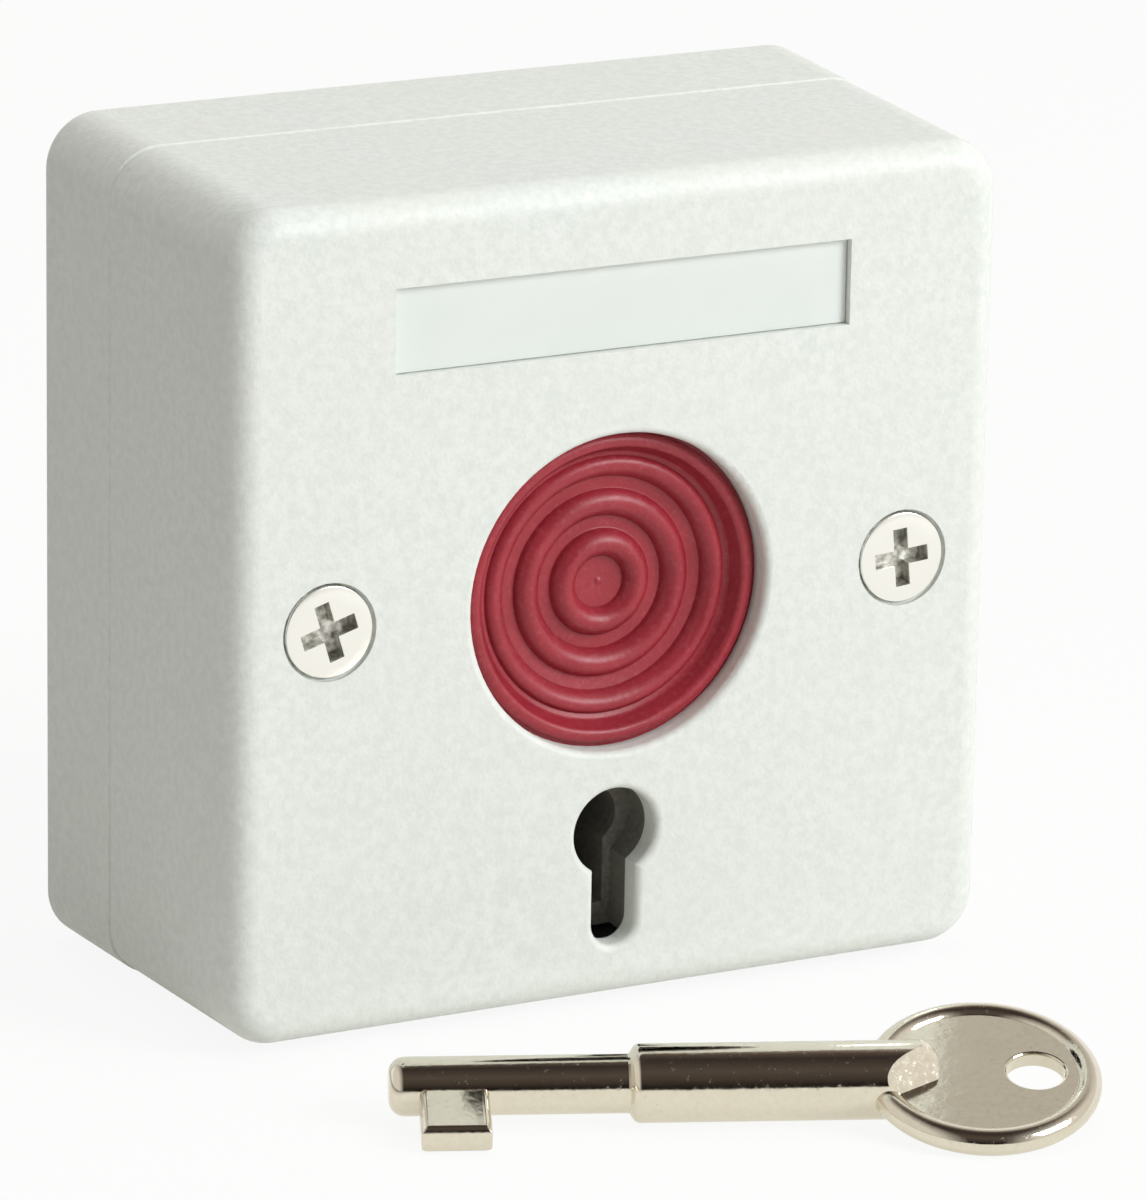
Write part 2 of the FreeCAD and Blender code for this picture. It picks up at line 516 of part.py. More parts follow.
def make_button_cap():
    cap = piece("button_cap")
    rod(cap, "disc", BUTTON_RADIUS, "y", RIM, SKIRT_END)
    flange_front = f"({INSIDE} + flange_gap)"
    edge_radius = f"({BUTTON_RADIUS} - rim_width)"
    rod(cap, "flange", "button_hole_radius + flange_reach", "y", flange_front, f"{flange_front} + flange_thick")
    flat_radius = "(ring_first - ring_width / 2)"
    rod(cap, "dish_wall", edge_radius, "y", f"{RIM} - 1", f"{DISH} - dish_sag", cut=True)
    cone(cap, "dish_floor", edge_radius, flat_radius, f"{DISH} - dish_sag", DISH, cut=True)
    tube = "((ring_width * ring_width / 4 + ring_height * ring_height) / (2 * ring_height))"
    for number in range(3):
        ring = f"(ring_first + {number} * ring_pitch)"
        torus = cap.newObject("PartDesign::AdditiveTorus", f"ring_{number + 1}")
        bind(torus, Radius1=ring, Radius2=tube)
        surface = f"{DISH} - dish_sag * ({ring} - {flat_radius}) / ({edge_radius} - {flat_radius})"
        stand(torus, "0", f"{surface} + {tube} - ring_height", "0", TO_Y)
    rod(cap, "hollow", f"{BUTTON_RADIUS} - skirt_wall", "y", WEB_BACK, f"{SKIRT_END} + 1", cut=True)
    rod(cap, "boss", BOSS_RADIUS, "y", WEB_BACK, f"{WEB_BACK} + socket_depth")
    block(cap, "socket", ("-stem_side / 2", "stem_side / 2"), (WEB_BACK, f"{WEB_BACK} + socket_depth + 1"),
          ("-stem_side / 2", "stem_side / 2"), cut=True)
    return cap


def make_button_stem():
    stem = piece("button_stem")
    side = ("-stem_side / 2", "stem_side / 2")
    block(stem, "bar", side, (WEB_BACK, f"{PLATE_FRONT} + stem_past"), side)
    notch_front = f"({LATCH_FRONT} - press_travel - guide_gap)"
    block(stem, "notch", ("-stem_side / 2 - 1", "stem_side / 2 + 1"),
          (notch_front, f"{notch_front} + latch_thick + 2 * guide_gap"),
          ("-stem_side / 2 - 1", "-stem_side / 2 + notch_depth"), cut=True)
    end = -SIZE["housing_depth"] + SIZE["frame_behind"] + SIZE["stem_past"]
    bevel(stem, "nose", "edge_ease", lambda edge: at_level(edge, end))
    return stem


# Mechanism frame: the black plate that carries the guide, the latch rails and the switch.

def make_mechanism_frame():
    frame = piece("mechanism_frame")
    corners = [("-frame_half", "-frame_foot"), ("frame_half", "-frame_foot"), ("frame_half", "frame_top"),
               ("-frame_half", "frame_top")]
    sketch = outline(frame, "plate_outline", corners)
    pad(frame, "plate", sketch, "frame_thick", PLATE_FRONT)
    plate = (PLATE_FRONT, PLATE_BACK)
    through = (f"{PLATE_FRONT} - 1", f"{PLATE_BACK} + 1")
    ease(frame, "plate_corners", "corner_radius / 2",
         lambda edge: abs(edge.Length - SIZE["frame_thick"]) < 0.01)
    rod(frame, "guide", "guide_radius", "y", f"{PLATE_FRONT} - guide_length", PLATE_FRONT)
    hole = ("-stem_side / 2 - guide_gap", "stem_side / 2 + guide_gap")
    block(frame, "guide_hole", hole, (f"{PLATE_FRONT} - guide_length - 1", through[1]), hole, cut=True)
    rod(frame, "journal_hole", "journal_radius + journal_gap", "y", *through, ("0", "-key_level"), cut=True)
    for side, column in (("-", "left"), ("", "right")):
        for level, tier in (("boss_high", "high"), ("-boss_low", "low")):
            rod(frame, f"screw_hole_{tier}_{column}", "frame_screw_radius + thread_gap", "y", *through,
                (side + "boss_x", level), cut=True)
        rod(frame, f"lug_hole_{column}", "frame_screw_radius + thread_gap", "y", *through,
            (side + "lug_x", "-key_level"), cut=True)
        near = "(latch_half + rail_gap)"
        rail = (near, f"{near} + rail_wall") if side == "" else (f"-{near} - rail_wall", f"-{near}")
        lip = (f"{near} - rail_wall", f"{near} + rail_wall")
        if side:
            lip = (f"-{near} - rail_wall", f"-{near} + rail_wall")
        high = ("-rail_foot", "rail_top")
        lip_front = f"({LATCH_BACK} + rail_gap)"
        block(frame, f"rail_{column}", rail, (PLATE_BACK, f"{lip_front} + rail_lip"), high)
        block(frame, f"rail_lip_{column}", lip, (lip_front, f"{lip_front} + rail_lip"), high)
        block(frame, f"rail_pad_{column}", lip, (PLATE_BACK, f"{LATCH_FRONT} - rail_gap"), high)
    block(frame, "spring_seat", ("-seat_half", "seat_half"),
          (PLATE_BACK, f"{LATCH_BACK} + latch_coil"), ("-frame_foot", "-latch_seat"))
    block(frame, "bracket", ("switch_width / 2", "switch_width / 2 + bracket_wall"),
          (f"{PLATE_FRONT} - switch_height + bracket_wall", PLATE_FRONT), ("bracket_foot", SWITCH_TOP))
    for number in range(2):
        level = f"switch_foot + switch_screw_first + {number} * switch_screw_pitch"
        rod(frame, f"bracket_hole_{number + 1}", "switch_screw_radius + thread_gap", "x", "switch_width / 2 - 1",
            "switch_width / 2 + bracket_wall + 1", (SWITCH_SCREW_Y, level), cut=True)
    for number in range(3):
        level = f"(switch_foot + tab_first + {number} * tab_pitch)"
        block(frame, f"tab_window_{number + 1}", ("-tab_width / 2 - tab_room", "tab_width / 2 + tab_room"), through,
              (f"{level} - tab_thick / 2 - tab_room", f"{level} + tab_thick / 2 + tab_room"), cut=True)
    return frame


def make_frame_screws():
    screws = piece("frame_screws")
    for side, column in (("-", "left"), ("", "right")):
        for level, tier in (("boss_high", "high"), ("-boss_low", "low")):
            frame_screw(screws, f"{tier}_{column}", side + "boss_x", level)
    return screws


def frame_screw(screws, name, x, z):
    head_back = f"({PLATE_BACK} + frame_head_height)"
    rod(screws, f"shank_{name}", "frame_screw_radius", "y", f"{PLATE_BACK} - frame_screw_length", PLATE_BACK, (x, z))
    rod(screws, f"head_{name}", "frame_head_radius", "y", PLATE_BACK, head_back, (x, z))
    for turn, x_size, z_size in (("across", "driver_span", "driver_width"),
                                 ("upright", "driver_width", "driver_span")):
        block(screws, f"cross_{turn}_{name}", (f"{x} - {x_size} / 2", f"{x} + {x_size} / 2"),
              (f"{head_back} - driver_depth", f"{head_back} + 1"), (f"{z} - {z_size} / 2", f"{z} + {z_size} / 2"),
              cut=True)


def make_lock_screws():
    screws = piece("lock_screws")
    head_back = f"({PLATE_BACK} + frame_head_height)"
    for side, column in (("-", "left"), ("", "right")):
        at = (side + "lug_x", "-key_level")
        rod(screws, f"shank_{column}", "frame_screw_radius", "y", f"{PLATE_FRONT} - lug_thick + lug_screw_short",
            PLATE_BACK, at)
        rod(screws, f"head_{column}", "frame_head_radius", "y", PLATE_BACK, head_back, at)
        block(screws, f"slot_{column}", (f"{at[0]} - frame_head_radius - 1", f"{at[0]} + frame_head_radius + 1"),
              (f"{head_back} - slot_depth", f"{head_back} + 1"),
              ("-key_level - slot_width / 2", "-key_level + slot_width / 2"), cut=True)
    return screws


# Lock: the key passes the keyhole and the housing, its bit turns the rotor a quarter turn.

def make_lock_housing():
    lock = piece("lock_housing", z="-key_level")
    half = ("-lock_block_half", "lock_block_half")
    block(lock, "front_block", half, (LOCK_FRONT, CUP_FRONT), ("-lock_block_down", "lock_block_up"))
    ease(lock, "block_corners", "edge_ease * 2", lambda edge: straight_along_y(edge))
    rod(lock, "cup", CUP_RADIUS, "y", CUP_FRONT, PLATE_FRONT)
    lug = (f"{PLATE_FRONT} - lug_thick", PLATE_FRONT)
    block(lock, "lug_bar", ("-lug_x", "lug_x"), lug, ("-lug_radius", "lug_radius"))
    for side, column in (("-", "left"), ("", "right")):
        rod(lock, f"lug_{column}", "lug_radius", "y", *lug, (side + "lug_x", "0"))
    rod(lock, "cup_hollow", "rotor_radius + rotor_gap", "y", ROTOR_FRONT, f"{PLATE_FRONT} + 1", cut=True)
    for side, column in (("-", "left"), ("", "right")):
        rod(lock, f"lug_hole_{column}", "frame_screw_radius + thread_gap", "y", f"{PLATE_FRONT} - lug_thick - 1",
            f"{PLATE_FRONT} + 1", (side + "lug_x", "0"), cut=True)
    mouth = (f"{LOCK_FRONT} - 1", f"{LOCK_FRONT} + throat_depth")
    rod(lock, "throat", "keyhole_radius + throat_gap", "y", *mouth, cut=True)
    slot_half = "(keyhole_slot / 2 + throat_gap)"
    block(lock, "throat_slot", (f"-{slot_half}", slot_half), mouth, ("-lock_block_down - 1", "0"), cut=True)
    rod(lock, "key_bore", "key_bore_radius", "y", f"{LOCK_FRONT} - 1", f"{ROTOR_FRONT} + 1", cut=True)
    block(lock, "bit_way", ("-bit_slot / 2", "bit_slot / 2"), (f"{LOCK_FRONT} - 1", f"{ROTOR_FRONT} + 1"),
          ("-bit_reach", "0"), cut=True)
    return lock


def straight_along_y(edge):
    ends = [vertex.Point for vertex in edge.Vertexes]
    return len(ends) == 2 and abs(ends[0].y - ends[1].y) > 3


def make_lock_rotor():
    rotor = piece("lock_rotor", z="-key_level")
    front = f"({ROTOR_FRONT} + rotor_gap)"
    rod(rotor, "drum", "rotor_radius", "y", front, ROTOR_BACK)
    rod(rotor, "journal", "journal_radius", "y", ROTOR_BACK, CLIP_FRONT)
    rod(rotor, "clip_neck", "clip_neck", "y", CLIP_FRONT, f"{CLIP_FRONT} + clip_thick")
    rod(rotor, "journal_end", "journal_radius", "y", f"{CLIP_FRONT} + clip_thick", JOURNAL_END)
    rod(rotor, "pin", "throw_pin_radius", "y", JOURNAL_END, f"{LATCH_BACK} + edge_ease",
        (PIN_SIDE, PIN_UP))
    rod(rotor, "key_bore", "rotor_bore_radius", "y", f"{front} - 1", f"{KEY_STOP} + key_tip_room", cut=True)
    block(rotor, "bit_way", ("-rotor_slot / 2", "rotor_slot / 2"), (f"{front} - 1", f"{ROTOR_BACK} - rotor_floor"),
          ("-rotor_slot_reach", "0"), cut=True)
    return rotor


def make_lock_clip():
    clip = piece("lock_clip", z="-key_level")
    ends = (CLIP_FRONT, f"{CLIP_FRONT} + clip_thick")
    rod(clip, "disc", "clip_radius", "y", *ends)
    rod(clip, "bore", "clip_neck + thread_gap", "y", f"{ends[0]} - 1", f"{ends[1]} + 1", cut=True)
    block(clip, "opening", ("-clip_opening", "clip_opening"), (f"{ends[0]} - 1", f"{ends[1]} + 1"),
          ("-clip_radius - 1", "0"), cut=True)
    return clip


# Latch: a steel slide that snaps into the pressed stem, and that the key's turn draws down.

def make_latch_slider():
    slider = piece("latch_slider")
    sheet_depth = (LATCH_FRONT, LATCH_BACK)
    through = (f"{LATCH_FRONT} - 1", f"{LATCH_BACK} + 1")
    tooth = "(-stem_side / 2 - latch_tooth_gap)"
    window_top = "(stem_side / 2 + notch_depth + latch_tooth_gap)"
    block(slider, "sheet", ("-latch_half", "latch_half"), sheet_depth,
          ("-latch_foot", f"{window_top} + latch_bridge"))
    block(slider, "tongue", ("-tongue_half", "tongue_half"), sheet_depth,
          ("-latch_foot - tongue_length", "-latch_foot + 1"))
    block(slider, "window", ("-stem_side / 2 - latch_tooth_gap", "stem_side / 2 + latch_tooth_gap"), through,
          (tooth, window_top), cut=True)
    reach = "(throw_pin_radius + slot_gap)"
    block(slider, "pin_slot", (f"{PIN_SIDE} - {reach}", f"throw_radius + {reach}"), through,
          (f"-key_level + {PIN_UP} - {reach} - notch_depth", f"-key_level + {PIN_UP} + {reach}"), cut=True)
    return slider


# Switch: a small lever switch on its bracket, worked by the skirt of the button.

def make_switch_body():
    body = piece("switch_body")
    half = "switch_width / 2"
    block(body, "case", (f"-{half}", half), (SWITCH_FRONT, PLATE_FRONT), ("switch_foot", SWITCH_TOP))
    lug = "(lever_eye + pivot_wall)"
    for sign, side in (("-", "left"), ("", "right")):
        span = ("lever_half + lever_gap", half) if not sign else (f"-{half}", "-lever_half - lever_gap")
        block(body, f"lug_{side}", span, (f"{PIVOT_Y} - {lug}", SWITCH_FRONT),
              (f"pivot_level - {lug}", f"pivot_level + {lug}"))
    rod(body, "pin_hole", "pivot_pin_radius", "x", f"-{half} - 1", f"{half} + 1", (PIVOT_Y, "pivot_level"), cut=True)
    rod(body, "plunger_hole", "plunger_radius + plunger_gap", "y", f"{SWITCH_FRONT} - 1",
        f"{SWITCH_FRONT} + plunger_sunk + plunger_room", ("0", "plunger_level"), cut=True)
    for number in range(2):
        level = f"switch_foot + switch_screw_first + {number} * switch_screw_pitch"
        rod(body, f"screw_hole_{number + 1}", "switch_screw_radius + thread_gap", "x", f"-{half} - 1", f"{half} + 1",
            (SWITCH_SCREW_Y, level), cut=True)
    return body


def make_switch_plunger():
    plunger = piece("switch_plunger", z="plunger_level")
    middle = f"({SWITCH_FRONT} - plunger_rise + plunger_radius)"
    rod(plunger, "barrel", "plunger_radius", "y", middle, f"{SWITCH_FRONT} + plunger_sunk")
    dome = plunger.newObject("PartDesign::AdditiveSphere", "dome")
    bind(dome, Radius="plunger_radius")
    stand(dome, "0", middle, "0", TO_Y)
    return plunger


def make_switch_lever():
    lever = piece("switch_lever")
    stand(lever, "0", PIVOT_Y, "pivot_level", FreeCAD.Rotation(V(1, 0, 0), -SIZE["lever_lean"]))
    wide = ("-lever_half", "lever_half")
    block(lever, "blade", wide, ("-lever_thick / 2", "lever_thick / 2"), ("-lever_length", "0"))
    rod(lever, "eye", "lever_eye", "x", *wide)
    rod(lever, "eye_hole", "pivot_pin_radius + pivot_gap", "x", "-lever_half - 1", "lever_half + 1", cut=True)
    return lever


def make_switch_pin():
    pin = piece("switch_pin")
    rod(pin, "pin", "pivot_pin_radius", "x", "-switch_width / 2", "switch_width / 2", (PIVOT_Y, "pivot_level"))
    return pin


def make_switch_terminals():
    tabs = piece("switch_terminals")
    for number in range(3):
        level = f"(switch_foot + tab_first + {number} * tab_pitch)"
        block(tabs, f"tab_{number + 1}", ("-tab_width / 2", "tab_width / 2"),
              (PLATE_FRONT, f"{PLATE_FRONT} + tab_length"), (f"{level} - tab_thick / 2", f"{level} + tab_thick / 2"))
        rod(tabs, f"tab_hole_{number + 1}", "tab_width / 4", "z", f"{level} - 1", f"{level} + 1",
            ("0", f"{PLATE_FRONT} + tab_length - tab_width / 2"), cut=True)
    return tabs


def make_switch_screws():
    screws = piece("switch_screws")
    for number in range(2):
        level = f"switch_foot + switch_screw_first + {number} * switch_screw_pitch"
        at = (SWITCH_SCREW_Y, level)
        rod(screws, f"shank_{number + 1}", "switch_screw_radius", "x", "-switch_width / 2",
            "switch_width / 2 + bracket_wall", at)
        rod(screws, f"head_{number + 1}", "switch_head_radius", "x", "-switch_width / 2 - switch_head_height",
            "-switch_width / 2", at)
        block(screws, f"slot_{number + 1}", ("-switch_width / 2 - switch_head_height - 1",
                                             "-switch_width / 2 - switch_head_height + slot_depth"),
              (f"{SWITCH_SCREW_Y} - slot_width / 2", f"{SWITCH_SCREW_Y} + slot_width / 2"),
              (f"{level} - switch_head_radius - 1", f"{level} + switch_head_radius + 1"), cut=True)
    return screws


# Fixings: two countersunk screws go through the cover into brass inserts in the rear box.

def make_face_screw(label, x, turn):
    screw = piece(label)
    stand(screw, x, "0", "0", FreeCAD.Rotation(V(0, -1, 0), SIZE[turn]))
    top = f"({FACE} + face_head_sunk)"
    neck = f"({top} + face_head_land + face_head_radius - face_shank_radius)"
    rod(screw, "head", "face_head_radius", "y", top, f"{top} + face_head_land")
    cone(screw, "sunk", "face_head_radius", "face_shank_radius", f"{top} + face_head_land", neck)
    rod(screw, "shank", "face_shank_radius", "y", neck, f"{SEAM} + face_screw_grip")
    for name, x_half, z_half in (("across", "cross_span / 2", "cross_width / 2"),
                                 ("upright", "cross_width / 2", "cross_span / 2")):
        block(screw, f"cross_{name}", (f"-{x_half}", x_half), (f"{top} - 1", f"{top} + cross_depth"),
              (f"-{z_half}", z_half), cut=True)
    return screw


def make_insert(label, x):
    insert = piece(label, x=x)
    rod(insert, "sleeve", "insert_radius", "y", SEAM, f"{SEAM} + insert_length")
    rod(insert, "bore", "face_shank_radius + thread_gap", "y", f"{SEAM} - 1", f"{SEAM} + insert_length + 1", cut=True)
    return insert


# Key: a one-piece key that lies in front of the housing, along its own X from tip to bow.

def make_reset_key():
    key = piece("reset_key")
    lying = FreeCAD.Rotation(SIZE["key_yaw"], -SIZE["key_pitch"], SIZE["key_roll"])
    stand(key, "key_tip_x", "key_tip_y", f"-{FLOOR} + {KEY_REST}", lying)
    thick_start = "(key_thin_length + key_shoulder)"
    rod(key, "thin_stem", "key_thin_radius", "x", "0", "key_thin_length")
    ease(key, "tip", "key_tip_rounding", lambda edge: edge.BoundBox.XMax < 0.01)
    shoulder = key.newObject("PartDesign::AdditiveCone", "shoulder")
    bind(shoulder, Radius1="key_thin_radius", Radius2="key_thick_radius", Height="key_shoulder")
    stand(shoulder, "key_thin_length", "0", "0", TO_X)
    rod(key, "thick_stem", "key_thick_radius", "x", thick_start, "key_bow_start + key_stem_in_bow")
    end = SIZE["key_bow_start"] + SIZE["key_stem_in_bow"]
    ease(key, "stem_end", "key_stem_rounding", lambda edge: edge.BoundBox.XMin > end - 0.01)
    rod(key, "bow_web", BEAD_CIRCLE, "z", "-key_web / 2", "key_web / 2", (BOW_MIDDLE, "0"))
    bead = key.newObject("PartDesign::AdditiveTorus", "bow_bead")
    bind(bead, Radius1=BEAD_CIRCLE, Radius2="key_bead_radius")
    stand(bead, BOW_MIDDLE, "0", "0")
    rod(key, "ring_hole", "key_hole_radius", "z", "-key_web", "key_web", (f"{BOW_MIDDLE} + key_hole_shift", "0"),
        cut=True)
    block(key, "bit", ("bit_from_tip", "bit_from_tip + bit_length"), ("-bit_height", "-key_thin_radius / 2"),
          ("-bit_thick / 2", "bit_thick / 2"))
    foot = -SIZE["bit_height"]
    bevel(key, "bit_bevel", "bit_ease", lambda edge: edge.BoundBox.YMax < foot + 0.01)
    return key


def sound(shape):
    """True for a shape that is there, valid and made of closed solids."""
    return not shape.isNull() and shape.isValid() and all(solid.isClosed() for solid in shape.Solids)


make_front_cover()
make_rear_box()
make_label_strip()
make_button_cap()
make_button_stem()
coil("button_spring", COIL_RADIUS, "spring_wire", "spring_turns", f"({PLATE_FRONT} - {WEB_BACK})",
     ("0", f"{WEB_BACK} + spring_wire / 2", "0"), TO_Y)
make_mechanism_frame()
make_frame_screws()
make_lock_housing()
make_lock_screws()
make_lock_rotor()
make_lock_clip()
make_latch_slider()
coil("latch_spring", "latch_coil", "latch_wire", "latch_turns", "(latch_seat - latch_foot)",
     ("0", f"{LATCH_FRONT} + latch_thick / 2", "-latch_seat + latch_wire / 2"), STRAIGHT)
make_switch_body()
make_switch_plunger()
make_switch_lever()
make_switch_pin()
make_switch_terminals()
make_switch_screws()
make_face_screw("face_screw_left", "-fixing_half", "cross_turn_left")
make_face_screw("face_screw_right", "fixing_half", "cross_turn_right")
make_insert("insert_left", "-fixing_half")
make_insert("insert_right", "fixing_half")
make_reset_key()
doc.recompute()

broken = [item.Name for item in doc.Objects if "Invalid" in item.State or "Error" in item.State]
broken += [item.Label for item in PIECES if not sound(item.Shape)]
if broken:
    raise SystemExit("not right: " + ", ".join(broken))
os.makedirs("parts", exist_ok=True)
for item in PIECES:
    item.Shape.exportStep(f"parts/{item.Label}.step")
    box = item.Shape.BoundBox
    print(f"{item.Label}: {len(item.Shape.Solids)} solid(s), {item.Shape.Volume:.1f} mm3,"
          f" X {box.XMin:.2f} {box.XMax:.2f}, Y {box.YMin:.2f} {box.YMax:.2f}, Z {box.ZMin:.2f} {box.ZMax:.2f}")
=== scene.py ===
# %% [markdown]
# # A keyed alarm button
#
# This lesson dresses a square alarm button for a picture. The red dish is pressed to raise
# the alarm, and a key in the keyhole below releases it. The body comes from a CAD model that
# is already the right size, so the work here is finish, light and the pieces that need
# finer curves than the CAD gives.

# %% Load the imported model
import json
import math

import bmesh
import bpy
from mathutils import Matrix, Vector

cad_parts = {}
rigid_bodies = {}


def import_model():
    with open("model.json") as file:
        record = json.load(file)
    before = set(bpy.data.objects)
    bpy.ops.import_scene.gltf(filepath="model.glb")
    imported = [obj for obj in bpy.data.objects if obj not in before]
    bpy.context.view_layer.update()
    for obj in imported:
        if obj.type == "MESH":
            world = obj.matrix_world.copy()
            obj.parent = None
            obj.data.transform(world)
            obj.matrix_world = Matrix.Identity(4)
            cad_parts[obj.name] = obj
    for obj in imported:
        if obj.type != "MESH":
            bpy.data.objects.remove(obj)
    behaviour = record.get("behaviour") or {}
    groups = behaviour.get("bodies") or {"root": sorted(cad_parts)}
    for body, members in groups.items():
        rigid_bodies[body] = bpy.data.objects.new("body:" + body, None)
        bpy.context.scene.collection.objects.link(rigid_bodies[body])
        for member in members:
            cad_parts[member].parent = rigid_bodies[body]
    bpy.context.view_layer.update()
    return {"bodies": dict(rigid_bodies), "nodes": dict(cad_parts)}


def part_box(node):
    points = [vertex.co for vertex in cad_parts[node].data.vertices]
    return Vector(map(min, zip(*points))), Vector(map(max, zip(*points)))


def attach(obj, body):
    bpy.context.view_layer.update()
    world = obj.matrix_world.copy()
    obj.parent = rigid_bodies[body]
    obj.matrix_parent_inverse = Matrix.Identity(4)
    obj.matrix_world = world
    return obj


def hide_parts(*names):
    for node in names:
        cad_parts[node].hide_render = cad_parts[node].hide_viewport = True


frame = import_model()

nodes = frame["nodes"]
print("nodes:", len(nodes), "bodies:", ", ".join(frame["bodies"]))

# %% [markdown]
# The model is in metres with the wall at Y = 0 and the face looking along -Y. Sizes are
# easier to read in millimetres, so one helper turns millimetres into metres. The places
# that several steps need are read from the model's own boxes, so nothing floats.

# %% Measure the places that later steps use
def mm(*values):
    """Millimetres to metres: one number, or a point."""
    return values[0] / 1000 if len(values) == 1 else Vector(values) / 1000


floor_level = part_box("reset_key")[0].z
face_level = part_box("front_cover")[0].y
print(f"floor {floor_level * 1000:.2f} mm, face {face_level * 1000:.2f} mm")

# %% [markdown]
# ## Camera
#
# The photograph was taken from the left and a little above with a long lens, which keeps the
# edges of the housing almost parallel. The camera's place, direction and lens were found by
# fitting the corners, screws and holes of the model to the same points in the picture.

# %% Set the camera
camera_place = mm(-325.74, -658.41, 209.86)
camera_forward = Vector((0.44083, 0.85001, -0.28836))
camera_up = Vector((0.11694, 0.26414, 0.95737))


def set_camera():
    data = bpy.data.cameras.new("camera")
    data.lens = 234.04
    data.clip_start = 0.05
    data.clip_end = 20
    camera = bpy.data.objects.new("camera", data)
    bpy.context.collection.objects.link(camera)
    right = camera_forward.cross(camera_up).normalized()
    up = right.cross(camera_forward).normalized()
    turn = Matrix((right, up, -camera_forward.normalized())).transposed()
    camera.matrix_world = Matrix.Translation(camera_place) @ turn.to_4x4()
    bpy.context.scene.camera = camera
    return camera


set_camera()
print("camera looks along", [round(v, 3) for v in camera_forward])

# %% [markdown]
# ## Light
#
# The face is the brightest side, the top nearly as bright, and the left side less than half
# as bright. That is a large soft light on the right in front, a softer one overhead, and a
# pale room that fills the rest. The camera sees the room as plain white.
#
# The nickel key shows more: its stems mirror something dark from the level of the camera up
# to the ceiling, and something white behind the housing. So reflections see a studio that is
# white low at the back and dark over the front. The node that turns a direction into an
# angle reads the world's own direction, so this studio stays put when the camera moves.

# %% Light the room
def add_node(tree, kind, **settings):
    node = tree.nodes.new(kind)
    for key, value in settings.items():
        setattr(node, key, value)
    return node


def map_range(tree, value, low, high, to_low=0.0, to_high=1.0):
    """Stretch the part of a value between low and high to a new range."""
    node = add_node(tree, "ShaderNodeMapRange")
    limits = (("From Min", low), ("From Max", high), ("To Min", to_low), ("To Max", to_high))
    for socket, number in limits:
        node.inputs[socket].default_value = number
    tree.links.new(value, node.inputs["Value"])
    return node.outputs[0]


# What mirrors see, from the horizon behind the housing (0) over the ceiling (0.5) to the
# horizon in front (1).
studio_bands = {
    0.19: (1.0, 0.99, 0.97),
    0.235: (0.64, 0.61, 0.55),
    0.305: (0.58, 0.55, 0.50),
    0.345: (0.26, 0.21, 0.18),
    0.40: (0.10, 0.075, 0.062),
    0.50: (0.040, 0.030, 0.028),
    0.72: (0.095, 0.075, 0.062),
    0.86: (0.060, 0.046, 0.038),
    0.97: (0.014, 0.010, 0.008),
}
studio_sides = (0.80, 0.76, 0.70)


def studio_for_mirrors(tree, back, along_key):
    """White low at the back, dark overhead and in front, grey to both sides: for glossy rays."""
    ways = add_node(tree, "ShaderNodeTexCoord").outputs["Generated"]
    along = add_node(tree, "ShaderNodeVectorMath", operation="DOT_PRODUCT")
    along.inputs[1].default_value = back
    tree.links.new(ways, along.inputs[0])
    parts = add_node(tree, "ShaderNodeSeparateXYZ")
    tree.links.new(ways, parts.inputs[0])
    height = add_node(tree, "ShaderNodeMath", operation="ARCTAN2")
    tree.links.new(parts.outputs["Z"], height.inputs[0])
    tree.links.new(along.outputs["Value"], height.inputs[1])
    share = add_node(tree, "ShaderNodeMath", operation="DIVIDE")
    share.inputs[1].default_value = math.pi
    tree.links.new(height.outputs[0], share.inputs[0])
    ramp = add_node(tree, "ShaderNodeValToRGB")
    stops = ramp.color_ramp.elements
    places = list(studio_bands)
    stops[0].position, stops[1].position = places[0], places[-1]
    for place in places[1:-1]:
        stops.new(place)
    for stop, colour in zip(stops, studio_bands.values()):
        stop.color = (*colour, 1)
    tree.links.new(share.outputs[0], ramp.inputs[0])
    aside = add_node(tree, "ShaderNodeVectorMath", operation="DOT_PRODUCT")
    aside.inputs[1].default_value = along_key
    tree.links.new(ways, aside.inputs[0])
    either_side = add_node(tree, "ShaderNodeMath", operation="ABSOLUTE")
    tree.links.new(aside.outputs["Value"], either_side.inputs[0])
    sides = add_node(tree, "ShaderNodeMix", data_type="RGBA", blend_type="LIGHTEN")
    tree.links.new(map_range(tree, either_side.outputs[0], 0.25, 0.70), sides.inputs[0])
    tree.links.new(ramp.outputs["Color"], sides.inputs[6])
    sides.inputs[7].default_value = (*studio_sides, 1)
    return sides.outputs[2]


